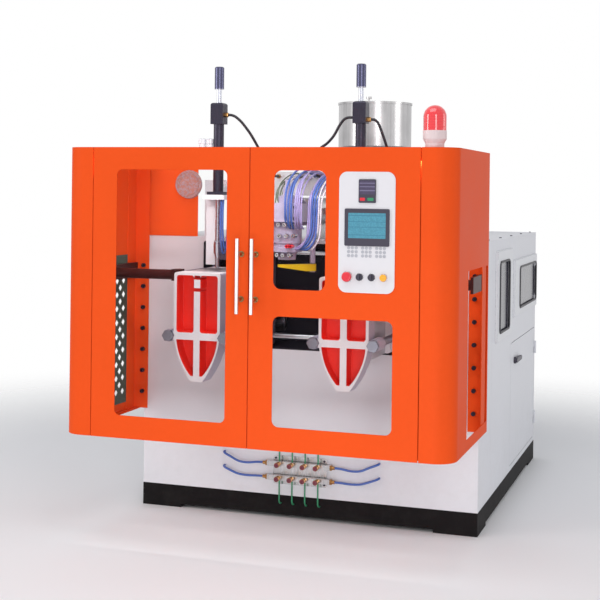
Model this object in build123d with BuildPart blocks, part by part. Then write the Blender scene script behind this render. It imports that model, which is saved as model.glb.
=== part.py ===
from build123d import *
import math
import os

os.makedirs("parts", exist_ok=True)

# Two-station blow moulding machine, in millimetres.
# X runs to the operator's right, Y away from the operator and Z up.
# The origin is the centre of the footprint on the floor.

# Sheet, gaps and fits
SHEET = 3.0
RUNNING = 0.05
SEAM = 4.0
FOLD = 22.0

# The four sizes that the rest follows
HOOD_HALF = 977.5
HOOD_DEPTH = 845.0
BODY_LENGTH = 2015.0
BODY_TOP = 1494.0

# Body
BODY_HALF = HOOD_HALF - 41.5
BED = 12.0
PLINTH_WALL = 10.0
FOOT = 18.0
FOOT_WIDTH = 230.0
FOOT_LENGTH = 240.0
PLINTH_TOP = 121.0
BED_UNDER = BODY_TOP - BED

# Hood
HOOD_BOTTOM = 541.0
HOOD_TOP = BODY_TOP + 458.0
HOOD_CORNER = 100.0
POST_INNER = HOOD_HALF - 157.5
JAMB_DEPTH = 45.0
JAMB_INNER = POST_INNER - 55.0
REAR_FLANGE = 60.0
SLOT_START = 309.0
SLOT_END = HOOD_DEPTH - 15.0
SLOT_LOW = HOOD_BOTTOM + 55.0
SLOT_HIGH = BODY_TOP - 109.0
ANGLE_DEPTH = HOOD_DEPTH - 55.0
ANGLE_SIDE = 98.0
ANGLE_FACE = 88.0

# Places along Y
HANDLE_REACH = 69.0
HOOD_FRONT = (HANDLE_REACH - HOOD_DEPTH - BODY_LENGTH) / 2
HOOD_BACK = HOOD_FRONT + HOOD_DEPTH
BODY_BACK = HOOD_BACK + BODY_LENGTH
ANGLE_Y = HOOD_FRONT + ANGLE_DEPTH

# Doors
DOOR_EDGE = POST_INNER - SEAM
HANDLE_RADIUS = 9.0
HANDLE_X = 36.0
HANDLE_LENGTH = 350.0
HANDLE_HIGH = HOOD_TOP - 427.0
HANDLE_LOW = HANDLE_HIGH - HANDLE_LENGTH
STAND_OFFS = (HANDLE_LOW + 65.0, HANDLE_HIGH - 74.0)
PIVOT_INSET = 16.0
PIVOT_DEPTH = 9.5
PIVOT_PIN = 4.0
PIVOT_BOSS = 6.0
PIVOT_X = DOOR_EDGE - PIVOT_INSET
PIVOT_Y = HOOD_FRONT + PIVOT_DEPTH
PIVOT_HEIGHTS = (HOOD_BOTTOM + 149.0, HOOD_TOP - 152.0)
KNUCKLE = 30.0
SILL = HOOD_BOTTOM + 111.0
HEADER = HOOD_TOP - 108.0
LEFT_WINDOW = ((126.0 - DOOR_EDGE, -114.0), (SILL, HEADER), 28.0)
UPPER_WINDOW = ((122.0, DOOR_EDGE - 442.0), (HEADER - 552.0, HEADER), 38.0)
LOWER_WINDOW = ((122.0, DOOR_EDGE - 121.0), (SILL, HEADER - 678.0), 32.0)
PANE = 4.0
PANE_LAP = 12.0

# Control panel on the right door
PANEL_MIDDLE = DOOR_EDGE - 246.0
PANEL_X = (PANEL_MIDDLE - 132.0, PANEL_MIDDLE + 132.0)
PANEL_Z = (HOOD_TOP - 662.0, HOOD_TOP - 112.0)
PANEL_CORNER = 38.0
PANEL_BOX_DEPTH = 57.0
PANEL_BOX_INSET = 12.0
BEZEL_X = (PANEL_MIDDLE - 103.0, PANEL_MIDDLE + 107.0)
BEZEL_Z = (PANEL_Z[1] - 337.0, PANEL_Z[1] - 168.0)
SCREEN_X = (BEZEL_X[0] + 17.0, BEZEL_X[1] - 17.0)
SCREEN_Z = (BEZEL_Z[0] + 35.0, BEZEL_Z[1] - 19.0)
CONTROLLER_X = (PANEL_MIDDLE - 38.0, PANEL_MIDDLE + 42.0)
CONTROLLER_Z = (PANEL_Z[1] - 141.0, PANEL_Z[1] - 34.0)
BUTTON_Z = PANEL_Z[0] + 72.0
STOP_X = PANEL_MIDDLE - 89.0
SELECTOR_X = (PANEL_MIDDLE - 31.0, PANEL_MIDDLE + 25.0)
START_X = PANEL_MIDDLE + 82.0
STEM = 8.0
STOP_HEAD = 22.5
KNOB_HEAD = 16.0

# Stations and the bay behind them
STATION = 382.0
PARTING = HOOD_BACK - 305.0
BAY_HALF = STATION + 208.0
BAY_DEPTH = 405.0
BAY_BACK = HOOD_BACK + BAY_DEPTH
BAY_HIGH = BODY_TOP - 24.0
BAY_LOW = BAY_HIGH - 570.0
CUT_OUT_HALF = BAY_HALF + 35.0
GUIDE_RADIUS = 20.0
GUIDE_Y = HOOD_BACK + 80.0
GUIDE_HEIGHTS = (BAY_LOW + 60.0, BAY_HIGH - 50.0)
FRAME_HALF = 175.0
FRAME_THICK = 60.0
FRAME_LOW = BAY_LOW + 10.0
FRAME_HIGH = BAY_HIGH - 10.0
FRAME_FRONT = GUIDE_Y - FRAME_THICK / 2
FRAME_BACK = GUIDE_Y + FRAME_THICK / 2

# Clamp
OPENING = 110.0
PLATEN_HALF = 125.0
PLATEN_THICK = 110.0
PLATEN_TOP = BODY_TOP - 159.0
PLATEN_SHOULDER = PLATEN_TOP - 319.0
PLATEN_TIP = PLATEN_TOP - 545.0
REAR_PLATEN_THICK = 80.0
REAR_PLATEN_LOW = PLATEN_TOP - 405.0
TIE_X = 150.0
TIE_Z = PLATEN_SHOULDER
TIE_RADIUS = 20.0
EAR_RADIUS = 31.0
NUT_FLATS = 52.0
MOULD_HALF = 100.0
MOULD_DEPTH = 150.0
MOULD_TOP = PLATEN_TOP
MOULD_LOW = MOULD_TOP - 405.0
MOULD_FRONT = PARTING - MOULD_DEPTH
PLATEN_FRONT = MOULD_FRONT - PLATEN_THICK
REAR_PLATEN_FRONT = PARTING + MOULD_DEPTH
REAR_PLATEN_BACK = REAR_PLATEN_FRONT + REAR_PLATEN_THICK
CLAMP_Z = TIE_Z + 84.0
CLAMP_ROD = 25.0
CLAMP_BARREL = 55.0
CLAMP_FLANGE = 20.0
CLAMP_LENGTH = OPENING + 65.0

# Bottle cavity
BOTTLE_RADIUS = 42.0
BOTTLE_LOW = MOULD_LOW + 45.0
BOTTLE_SHOULDER = MOULD_TOP - 110.0
NECK_LOW = MOULD_TOP - 67.0
NECK_RADIUS = 16.0

# Blow pins
BLOW_STROKE = 62.0
PIN_NOSE = NECK_RADIUS - 5.5
PIN_ROD = 12.5
PIN_RADIUS = 14.0
PIN_TIP = MOULD_TOP + 10.0
ARM_TOP = BODY_TOP + 230.0
ARM_THICK = 24.0
CYLINDER_RADIUS = 27.0
CYLINDER_HEAD = 34.0
HEAD_LOW = ARM_TOP + 366.0
HEAD_TOP = HEAD_LOW + 110.0
KNOB_LOW = HEAD_TOP + BLOW_STROKE + 8.0
KNOB_TOP = KNOB_LOW + 117.0
KNOB_RADIUS = 24.5
HOSE = 7.0

# Shift cylinders
SHIFT_Z = BODY_TOP - 189.0
SHIFT_Y = PARTING - 40.0
SHIFT_BARREL = 26.0
SHIFT_ROD = 10.0
SHIFT_ARM = 30.0

# Die head and extruder
DIE_FACE = BODY_TOP - 94.0
DIE_RADIUS = 45.0
EXTRUDER_Z = BODY_TOP + 146.0
BARREL_RADIUS = 60.0
BORE_RADIUS = 31.0
BAND_THICK = 14.0
BAND_WIDTH = 120.0
BAND_COUNT = 6
HOPPER_Y = BODY_BACK - 645.0
HOPPER_RADIUS = 231.0
HOPPER_LOW = BODY_TOP + 296.0
HOPPER_KNEE = HOPPER_LOW + 245.0
HOPPER_TOP = HOPPER_KNEE + 274.0
HOPPER_NECK = 50.0
CUTTER_X = 118.0
CUTTER_BACK = 60.0
CUTTER_PIN = 8.0
CUTTER_HEIGHT = 36.0
CUTTER_LOW = DIE_FACE - 58.0

# Right side of the body, as shares of its length
POST_SEAM = HOOD_BACK + 0.1772 * BODY_LENGTH
LOWER_DOOR_Y = (HOOD_BACK + 0.5037 * BODY_LENGTH, HOOD_BACK + 0.9831 * BODY_LENGTH)
LOWER_DOOR_Z = (PLINTH_TOP + 29.0, BODY_TOP - 622.0)
WINDOW_1_Y = (HOOD_BACK + 0.264 * BODY_LENGTH, HOOD_BACK + 0.4283 * BODY_LENGTH)
WINDOW_2_Y = (HOOD_BACK + 0.6228 * BODY_LENGTH, HOOD_BACK + 0.9658 * BODY_LENGTH)
SIDE_WINDOW_1 = (WINDOW_1_Y, (BODY_TOP - 514.0, BODY_TOP - 124.0), 30.0)
SIDE_COVER_1 = ((WINDOW_1_Y[0] - 72.0, WINDOW_1_Y[1] + 122.0), (BODY_TOP - 564.0, BODY_TOP - 60.0))
SIDE_WINDOW_2 = (WINDOW_2_Y, (BODY_TOP - 434.0, BODY_TOP - 189.0), 50.0)
SIDE_COVER_2 = ((WINDOW_2_Y[0] - 179.0, WINDOW_2_Y[1] + 54.0), (BODY_TOP - 479.0, BODY_TOP - 136.0))
COVER_THICK = 12.0
LOCK_INSET = 130.0
LOCK_Y = LOWER_DOOR_Y[0] + LOCK_INSET
LOCK_Z = LOWER_DOOR_Z[1] - 115.0
LOCK_SHAFT = 9.0

# Cooling water
MANIFOLD_X = -15.0
RAILS = (PLINTH_TOP + 100.0, PLINTH_TOP + 174.0)
VALVES = (-108.0, -36.0, 36.0, 108.0)
RAIL_HALF = 175.0
RAIL_STAND = 32.0
WATER_HOSE = 6.0
TUBE = 4.0

# Beacon
BEACON_X = HOOD_HALF - 111.5
BEACON_DEPTH = 56.0
BEACON_RADIUS = 53.5
BEACON_FOOT = 43.0
BEACON_RISE = 76.0
BEACON_JOIN = HOOD_TOP + BEACON_RISE
BEACON_TOP = BEACON_JOIN + 115.0

TURN = {"x": (0, 90, 0), "y": (-90, 0, 0), "z": (0, 0, 0)}
FROM_BASE = (Align.CENTER, Align.CENTER, Align.MIN)


def facing(y, x=0.0):
    """A sketch plane seen from the front. What is extruded from it grows towards the operator."""
    return Plane(origin=(x, y, 0), x_dir=(1, 0, 0), z_dir=(0, -1, 0))


def block(x, y, z, mode=Mode.ADD):
    """A straight block between pairs of X, Y and Z values, in either order."""
    with Locations(((x[0] + x[1]) / 2, (y[0] + y[1]) / 2, (z[0] + z[1]) / 2)):
        Box(abs(x[1] - x[0]), abs(y[1] - y[0]), abs(z[1] - z[0]), mode=mode)


def bar(start, radius, length, along="z", mode=Mode.ADD):
    """A round bar, or with SUBTRACT a bore, that runs from start along one axis."""
    with Locations(start):
        Cylinder(radius, length, rotation=TURN[along], align=FROM_BASE, mode=mode)


def nut(start, flats, thick, along="y"):
    """A hexagon nut or bolt head."""
    planes = {"x": Plane.YZ, "y": Plane.XZ, "z": Plane.XY}
    plane = Plane(origin=start, x_dir=planes[along].x_dir, z_dir=planes[along].z_dir)
    with BuildSketch(plane) as hexagon:
        RegularPolygon(flats / 2, 6, major_radius=False)
    extrude(hexagon.sketch, amount=-thick if along == "y" else thick)


def rounded(x, z, radius):
    """A round-cornered rectangle in a sketch that faces the front."""
    with Locations(((x[0] + x[1]) / 2, (z[0] + z[1]) / 2)):
        RectangleRounded(abs(x[1] - x[0]), abs(z[1] - z[0]), radius)


def plate(x, y, z, radius, mode=Mode.ADD):
    """A plate with round corners that faces the front, between two Y values."""
    with BuildSketch(facing(y[1])) as face:
        rounded(x, z, radius)
    extrude(face.sketch, amount=y[1] - y[0], mode=mode)


def turned(x, y, profile, mode=Mode.ADD):
    """A piece turned about a vertical axis, from pairs of radius and height."""
    with BuildSketch(facing(y, x)) as section:
        with BuildLine():
            Polyline(*profile, close=True)
        make_face()
    revolve(section.sketch, axis=Axis((x, y, 0), (0, 0, 1)), mode=mode)


def keep(piece, label):
    """Name a finished piece and write it."""
    piece.part.label = label
    export_step(piece.part, f"parts/{label}.step")


# Base and body

with BuildPart() as plinth:
    block((-BODY_HALF, BODY_HALF), (HOOD_BACK, BODY_BACK), (FOOT, PLINTH_TOP))
    block((-BODY_HALF + PLINTH_WALL, BODY_HALF - PLINTH_WALL),
          (HOOD_BACK + PLINTH_WALL, BODY_BACK - PLINTH_WALL),
          (FOOT, PLINTH_TOP - PLINTH_WALL), mode=Mode.SUBTRACT)
    for x_side in (-1, 1):
        foot_x = (x_side * BODY_HALF, x_side * (BODY_HALF - FOOT_WIDTH))
        block(foot_x, (HOOD_BACK, HOOD_BACK + FOOT_LENGTH), (0, FOOT))
        block(foot_x, (BODY_BACK - FOOT_LENGTH, BODY_BACK), (0, FOOT))
keep(plinth, "plinth")

with BuildPart() as front_panel:
    block((-BODY_HALF, BODY_HALF), (HOOD_BACK, HOOD_BACK + SHEET), (PLINTH_TOP, BED_UNDER))
    plate((-BAY_HALF, BAY_HALF), (HOOD_BACK, HOOD_BACK + SHEET), (BAY_LOW, BAY_HIGH), 12,
          mode=Mode.SUBTRACT)
keep(front_panel, "front_panel")

with BuildPart() as roof_panel:
    block((-BODY_HALF, BODY_HALF), (HOOD_BACK, BODY_BACK), (BED_UNDER, BODY_TOP))
keep(roof_panel, "roof_panel")

LOUVRE_COUNT = 9
LOUVRE_PITCH = 42.0
LOUVRE_WIDTH = 280.0
LOUVRE_RISE = 12.0
LOUVRE_LOW = 520.0

with BuildPart() as rear_panel:
    block((-BODY_HALF, BODY_HALF), (BODY_BACK - SHEET, BODY_BACK), (PLINTH_TOP, BED_UNDER))
    for x_side in (-1, 1):
        for i in range(LOUVRE_COUNT):
            low = LOUVRE_LOW + i * LOUVRE_PITCH
            middle = x_side * BODY_HALF / 2
            block((middle - LOUVRE_WIDTH / 2, middle + LOUVRE_WIDTH / 2),
                  (BODY_BACK - SHEET, BODY_BACK), (low, low + LOUVRE_RISE), mode=Mode.SUBTRACT)
keep(rear_panel, "rear_panel")

HINGE_HEIGHTS = (LOWER_DOOR_Z[0] + 130.0, LOWER_DOOR_Z[1] - 132.0)
PANEL_SEAM = 2.0
HINGE_RADIUS = 7.0
HINGE_PIN = 4.0
HINGE_HALF = 40.0
HINGE_X = BODY_HALF + HINGE_RADIUS + 1.0
LEAF = 30.0


def side_sketch(y, z, radius):
    """A round-cornered opening in a side panel, between pairs of Y and Z values."""
    with Locations(((y[0] + y[1]) / 2, (z[0] + z[1]) / 2)):
        RectangleRounded(y[1] - y[0], z[1] - z[0], radius)


def side_panel(side, fitted):
    """One side of the body: a front post, and a main sheet behind it with its openings."""
    with BuildPart() as panel:
        skin = (side * BODY_HALF, side * (BODY_HALF - SHEET))
        block(skin, (HOOD_BACK + SHEET, POST_SEAM), (PLINTH_TOP, BED_UNDER))
        block(skin, (POST_SEAM + PANEL_SEAM, BODY_BACK - SHEET), (PLINTH_TOP, BED_UNDER))
        if fitted:
            with BuildSketch(Plane.YZ.offset(BODY_HALF)) as openings:
                side_sketch(*SIDE_WINDOW_1)
                side_sketch(*SIDE_WINDOW_2)
                side_sketch(LOWER_DOOR_Y, LOWER_DOOR_Z, SEAM)
            extrude(openings.sketch, amount=-SHEET, mode=Mode.SUBTRACT)
            hinge_y = LOWER_DOOR_Y[1]
            for z in HINGE_HEIGHTS:
                block((BODY_HALF, BODY_HALF + SHEET), (hinge_y, hinge_y + LEAF),
                      (z - HINGE_HALF, z))
                bar((HINGE_X, hinge_y, z - HINGE_HALF), HINGE_RADIUS, HINGE_HALF)
                bar((HINGE_X, hinge_y, z), HINGE_PIN, HINGE_HALF)
    return panel


right_side = side_panel(1, True)
left_side = side_panel(-1, False)
with BuildPart() as side_panels:
    add(right_side.part)
    add(left_side.part)
keep(side_panels, "side_panels")

COVER_CORNER = 14.0
COVER_SLOPE = 20.0

with BuildPart() as side_window_covers:
    for cover, window in ((SIDE_COVER_1, SIDE_WINDOW_1), (SIDE_COVER_2, SIDE_WINDOW_2)):
        with BuildSketch(Plane.YZ.offset(BODY_HALF)) as frame_face:
            side_sketch(cover[0], cover[1], COVER_CORNER)
        extrude(frame_face.sketch, amount=COVER_THICK, taper=COVER_SLOPE)
        with BuildSketch(Plane.YZ.offset(BODY_HALF)) as window_face:
            side_sketch(*window)
        extrude(window_face.sketch, amount=COVER_THICK, mode=Mode.SUBTRACT)
keep(side_window_covers, "side_window_covers")

with BuildPart() as side_window_panes:
    for window in (SIDE_WINDOW_1, SIDE_WINDOW_2):
        with BuildSketch(Plane.YZ.offset(BODY_HALF)) as pane_face:
            side_sketch(*window)
        extrude(pane_face.sketch, amount=PANE)
keep(side_window_panes, "side_window_panes")

with BuildPart() as lower_door:
    with BuildSketch(Plane.YZ.offset(BODY_HALF)) as door_face:
        side_sketch((LOWER_DOOR_Y[0] + SEAM, LOWER_DOOR_Y[1] - SEAM),
                    (LOWER_DOOR_Z[0] + SEAM, LOWER_DOOR_Z[1] - SEAM), SEAM)
    extrude(door_face.sketch, amount=-FOLD)
    hollow_y = (LOWER_DOOR_Y[0] + SEAM + SHEET, LOWER_DOOR_Y[1] - SEAM - SHEET)
    block((BODY_HALF - SHEET, BODY_HALF - FOLD), hollow_y,
          (LOWER_DOOR_Z[0] + SEAM + SHEET, LOWER_DOOR_Z[1] - SEAM - SHEET), mode=Mode.SUBTRACT)
    bar((BODY_HALF - SHEET, LOCK_Y, LOCK_Z), LOCK_SHAFT + RUNNING, SHEET, "x", mode=Mode.SUBTRACT)
    hinge_y = LOWER_DOOR_Y[1]
    for z in HINGE_HEIGHTS:
        block((BODY_HALF, BODY_HALF + SHEET), (hinge_y - LEAF - SEAM, hinge_y), (z, z + HINGE_HALF))
        bar((HINGE_X, hinge_y, z), HINGE_RADIUS, HINGE_HALF)
        bar((HINGE_X, hinge_y, z), HINGE_PIN + RUNNING, HINGE_HALF, mode=Mode.SUBTRACT)
keep(lower_door, "lower_door")

LOCK_HUB = 20.0
HUB_LENGTH = 12.0
LEVER = 190.0
LEVER_WIDTH = 26.0
LEVER_HEEL = 19.0
LEVER_STAND = 8.0
LEVER_THICK = 14.0
CAM = LOCK_INSET + 18.0
CAM_WIDTH = 24.0
CAM_THICK = 4.0

with BuildPart() as door_lock:
    cam_face_x = BODY_HALF - FOLD - SHEET
    bar((cam_face_x, LOCK_Y, LOCK_Z), LOCK_SHAFT, FOLD + 2 * SHEET, "x")
    bar((BODY_HALF + 0.5, LOCK_Y, LOCK_Z), LOCK_HUB, HUB_LENGTH, "x")
    with BuildSketch(Plane.YZ.offset(BODY_HALF + LEVER_STAND)) as lever_face:
        with Locations((LOCK_Y + LEVER / 2 - LEVER_HEEL, LOCK_Z)):
            SlotOverall(LEVER, LEVER_WIDTH)
    extrude(lever_face.sketch, amount=LEVER_THICK)
    with BuildSketch(Plane.YZ.offset(cam_face_x)) as cam_face:
        with Locations((LOCK_Y, LOCK_Z - (CAM - CAM_WIDTH) / 2)):
            SlotOverall(CAM + CAM_WIDTH, CAM_WIDTH, rotation=90)
    extrude(cam_face.sketch, amount=-CAM_THICK)
keep(door_lock, "door_lock")

with BuildPart() as bay_liner:
    liner_front = HOOD_BACK + SHEET
    block((-BAY_HALF - SHEET, BAY_HALF + SHEET), (liner_front, BAY_BACK + SHEET),
          (BAY_LOW - SHEET, BAY_HIGH + SHEET))
    block((-BAY_HALF, BAY_HALF), (liner_front, BAY_BACK), (BAY_LOW, BAY_HIGH), mode=Mode.SUBTRACT)
keep(bay_liner, "bay_liner")

GUIDE_FLANGE = 34.0
FLANGE_THICK = 12.0

with BuildPart() as guide_rods:
    for z in GUIDE_HEIGHTS:
        bar((-BAY_HALF, GUIDE_Y, z), GUIDE_RADIUS, 2 * BAY_HALF, "x")
        bar((-BAY_HALF, GUIDE_Y, z), GUIDE_FLANGE, FLANGE_THICK, "x")
        bar((BAY_HALF - FLANGE_THICK, GUIDE_Y, z), GUIDE_FLANGE, FLANGE_THICK, "x")
keep(guide_rods, "guide_rods")

# Power unit inside the body, behind the lower door

TANK_X = (BODY_HALF - 706.0, BODY_HALF - 86.0)
TANK_Y = (BODY_BACK - 910.0, BODY_BACK - 210.0)
TANK_HEIGHT = 400.0
MOTOR_RADIUS = 110.0
MOTOR_LENGTH = 360.0
MOTOR_FEET = 40.0
FIN_COUNT = 8
FIN_THICK = 6.0
FIN_PROUD = 9.0
BELL_RADIUS = 60.0
BELL_LENGTH = 60.0
PUMP_HALF = 55.0
PUMP_LENGTH = 130.0

with BuildPart() as power_unit:
    tank_top = PLINTH_TOP + TANK_HEIGHT
    block(TANK_X, TANK_Y, (PLINTH_TOP, tank_top))
    block((TANK_X[0] + SHEET, TANK_X[1] - SHEET), (TANK_Y[0] + SHEET, TANK_Y[1] - SHEET),
          (PLINTH_TOP, tank_top - SHEET), mode=Mode.SUBTRACT)
    motor_x = (TANK_X[0] + TANK_X[1]) / 2
    motor_y = TANK_Y[0] + 90.0
    motor_z = tank_top + MOTOR_RADIUS + 20.0
    block((motor_x - MOTOR_RADIUS + 20, motor_x + MOTOR_RADIUS - 20),
          (motor_y + 30, motor_y + MOTOR_LENGTH - 30), (tank_top, tank_top + MOTOR_FEET))
    bar((motor_x, motor_y, motor_z), MOTOR_RADIUS, MOTOR_LENGTH, "y")
    for i in range(FIN_COUNT):
        bar((motor_x, motor_y + (i + 1) * MOTOR_LENGTH / (FIN_COUNT + 1), motor_z),
            MOTOR_RADIUS + FIN_PROUD, FIN_THICK, "y")
    bell_y = motor_y + MOTOR_LENGTH
    bar((motor_x, bell_y, motor_z), BELL_RADIUS, BELL_LENGTH, "y")
    pump_y = bell_y + BELL_LENGTH
    block((motor_x - PUMP_HALF, motor_x + PUMP_HALF), (pump_y, pump_y + PUMP_LENGTH),
          (motor_z - PUMP_HALF, motor_z + PUMP_HALF))
keep(power_unit, "power_unit")

# Hood

LIP = 40.0
LUG_HALF = 15.0
BOLT_FLATS = 17.0
BOLT_HEAD = 7.0
BOLT_COUNT = 7
BOLT_LOW = SLOT_LOW + 41.0
BOLT_PITCH = (SLOT_HIGH - 55.0 - BOLT_LOW) / (BOLT_COUNT - 1)
BOLT_X = HOOD_HALF - 57.5


def hood_side(side):
    """A folded side of the hood with its corner post, lips, slot and door pivots."""
    corner = HOOD_HALF - HOOD_CORNER
    jamb = HOOD_FRONT + JAMB_DEPTH
    with BuildPart() as hood:
        with BuildSketch(Plane.XY.offset(HOOD_BOTTOM)) as fold:
            with BuildLine():
                Line((JAMB_INNER, jamb), (POST_INNER, jamb))
                Line((POST_INNER, jamb), (POST_INNER, HOOD_FRONT))
                Line((POST_INNER, HOOD_FRONT), (corner, HOOD_FRONT))
                TangentArc((corner, HOOD_FRONT), (HOOD_HALF, HOOD_FRONT + HOOD_CORNER),
                           tangent=(1, 0))
                Line((HOOD_HALF, HOOD_FRONT + HOOD_CORNER), (HOOD_HALF, HOOD_BACK))
                Line((HOOD_HALF, HOOD_BACK), (HOOD_HALF - REAR_FLANGE, HOOD_BACK))
                offset(amount=SHEET, side=Side.LEFT, closed=True)
            make_face()
        extrude(fold.sketch, amount=HOOD_TOP - HOOD_BOTTOM)
        for low in (HOOD_BOTTOM, HOOD_TOP - SHEET):
            with BuildSketch(Plane.XY.offset(low)) as lip:
                with BuildLine():
                    Polyline((POST_INNER, HOOD_BACK), (HOOD_HALF, HOOD_BACK),
                             (HOOD_HALF, HOOD_FRONT + HOOD_CORNER))
                    TangentArc((HOOD_HALF, HOOD_FRONT + HOOD_CORNER), (corner, HOOD_FRONT),
                               tangent=(0, -1))
                    Polyline((corner, HOOD_FRONT), (POST_INNER, HOOD_FRONT), (POST_INNER, HOOD_BACK))
                make_face()
            extrude(lip.sketch, amount=SHEET)
        block((POST_INNER - 1, HOOD_HALF - LIP), (HOOD_FRONT + HOOD_CORNER, HOOD_BACK + 1),
              (HOOD_BOTTOM, HOOD_BOTTOM + SHEET), mode=Mode.SUBTRACT)
        block((HOOD_HALF - SHEET, HOOD_HALF), (HOOD_FRONT + SLOT_START, HOOD_FRONT + SLOT_END),
              (SLOT_LOW, SLOT_HIGH), mode=Mode.SUBTRACT)
        inner_height = (HOOD_BOTTOM + SHEET, HOOD_TOP - SHEET)
        block((HOOD_HALF - 2 * SHEET, HOOD_HALF - SHEET), (ANGLE_Y - ANGLE_SIDE, ANGLE_Y), inner_height)
        block((HOOD_HALF - ANGLE_FACE, HOOD_HALF - SHEET), (ANGLE_Y - SHEET, ANGLE_Y), inner_height)
        for i in range(BOLT_COUNT):
            nut((BOLT_X, ANGLE_Y - SHEET, BOLT_LOW + i * BOLT_PITCH), BOLT_FLATS, -BOLT_HEAD)
        for z in PIVOT_HEIGHTS:
            block((PIVOT_X - PIVOT_BOSS, PIVOT_X + PIVOT_BOSS / 2), (PIVOT_Y, jamb),
                  (z - LUG_HALF, z + LUG_HALF))
            bar((PIVOT_X, PIVOT_Y, z - LUG_HALF), PIVOT_BOSS, 2 * LUG_HALF)
            bar((PIVOT_X, PIVOT_Y, z - LUG_HALF - KNUCKLE), PIVOT_PIN, 2 * (LUG_HALF + KNUCKLE))
        if side < 0:
            mirror(hood.part, about=Plane.YZ, mode=Mode.REPLACE)
    return hood


keep(hood_side(-1), "hood_left_side")
keep(hood_side(1), "hood_right_side")

STIFFENER = 40.0
GRILLE_X = CUT_OUT_HALF + 52.0
GRILLE_Z = HOOD_TOP - 174.0
GRILLE_RADIUS = 75.0
GRILLE_PROUD = 24.0

with BuildPart() as hood_back_panel:
    back_edge = HOOD_HALF - REAR_FLANGE - 1
    with BuildSketch(facing(HOOD_BACK)) as back_face:
        with BuildLine():
            Polyline((-back_edge, BODY_TOP), (-CUT_OUT_HALF, BODY_TOP),
                     (-CUT_OUT_HALF, HOOD_TOP - STIFFENER), (CUT_OUT_HALF, HOOD_TOP - STIFFENER),
                     (CUT_OUT_HALF, BODY_TOP), (back_edge, BODY_TOP),
                     (back_edge, HOOD_TOP - SHEET), (-back_edge, HOOD_TOP - SHEET), close=True)
        make_face()
    extrude(back_face.sketch, amount=SHEET)
    bar((-GRILLE_X, HOOD_BACK - GRILLE_PROUD, GRILLE_Z), GRILLE_RADIUS, GRILLE_PROUD, "y")
    bar((-GRILLE_X, HOOD_BACK - GRILLE_PROUD, GRILLE_Z), GRILLE_RADIUS - 8, 6, "y", mode=Mode.SUBTRACT)
    for ring in (20.0, 38.0, 56.0):
        bar((-GRILLE_X, HOOD_BACK - GRILLE_PROUD, GRILLE_Z), ring + 4, 6, "y")
        bar((-GRILLE_X, HOOD_BACK - GRILLE_PROUD, GRILLE_Z), ring - 4, 6, "y", mode=Mode.SUBTRACT)
    block((-GRILLE_X - GRILLE_RADIUS + 4, -GRILLE_X + GRILLE_RADIUS - 4),
          (HOOD_BACK - GRILLE_PROUD + 1, HOOD_BACK), (GRILLE_Z - 4, GRILLE_Z + 4))
    block((-GRILLE_X - 4, -GRILLE_X + 4), (HOOD_BACK - GRILLE_PROUD + 1, HOOD_BACK),
          (GRILLE_Z - GRILLE_RADIUS + 4, GRILLE_Z + GRILLE_RADIUS - 4))
keep(hood_back_panel, "hood_back_panel")

MESH_PITCH = 75.0
MESH_HOLE = 27.0
MESH_LAP = 7.0
MESH_THICK = 2.0

with BuildPart() as vent_mesh:
    mesh_y = (HOOD_FRONT + SLOT_START - MESH_LAP, ANGLE_Y - ANGLE_SIDE - 1)
    mesh_z = (SLOT_LOW - MESH_LAP, SLOT_HIGH + MESH_LAP)
    columns = int((mesh_y[1] - mesh_y[0]) // MESH_PITCH)
    rows = int((mesh_z[1] - mesh_z[0]) // MESH_PITCH)
    with BuildSketch(Plane.YZ.offset(-HOOD_HALF + SHEET)) as mesh_face:
        with Locations(((mesh_y[0] + mesh_y[1]) / 2, (mesh_z[0] + mesh_z[1]) / 2)):
            Rectangle(mesh_y[1] - mesh_y[0], mesh_z[1] - mesh_z[0])
            for shorter in (0, 1):
                with GridLocations(MESH_PITCH, MESH_PITCH, columns - shorter, rows - shorter):
                    Rectangle(MESH_HOLE, MESH_HOLE, rotation=45, mode=Mode.SUBTRACT)
    extrude(mesh_face.sketch, amount=MESH_THICK)
keep(vent_mesh, "vent_mesh")

with BuildPart() as beacon_base:
    turned(BEACON_X, HOOD_FRONT + BEACON_DEPTH,
           [(0, HOOD_TOP), (BEACON_FOOT, HOOD_TOP), (BEACON_FOOT, HOOD_TOP + BEACON_RISE / 4),
            (BEACON_RADIUS, HOOD_TOP + BEACON_RISE / 2), (BEACON_RADIUS, BEACON_JOIN), (0, BEACON_JOIN)])
keep(beacon_base, "beacon_base")

with BuildPart() as beacon_lens:
    beacon_y = HOOD_FRONT + BEACON_DEPTH
    dome = BEACON_RADIUS - 1
    with BuildSketch(facing(beacon_y, BEACON_X)) as lens_half:
        with BuildLine():
            Polyline((0, BEACON_TOP), (0, BEACON_JOIN), (dome, BEACON_JOIN), (dome, BEACON_TOP - dome))
            TangentArc((dome, BEACON_TOP - dome), (0, BEACON_TOP), tangent=(0, 1))
        make_face()
    revolve(lens_half.sketch, axis=Axis((BEACON_X, beacon_y, 0), (0, 0, 1)))
keep(beacon_lens, "beacon_lens")

# Doors of the hood


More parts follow.
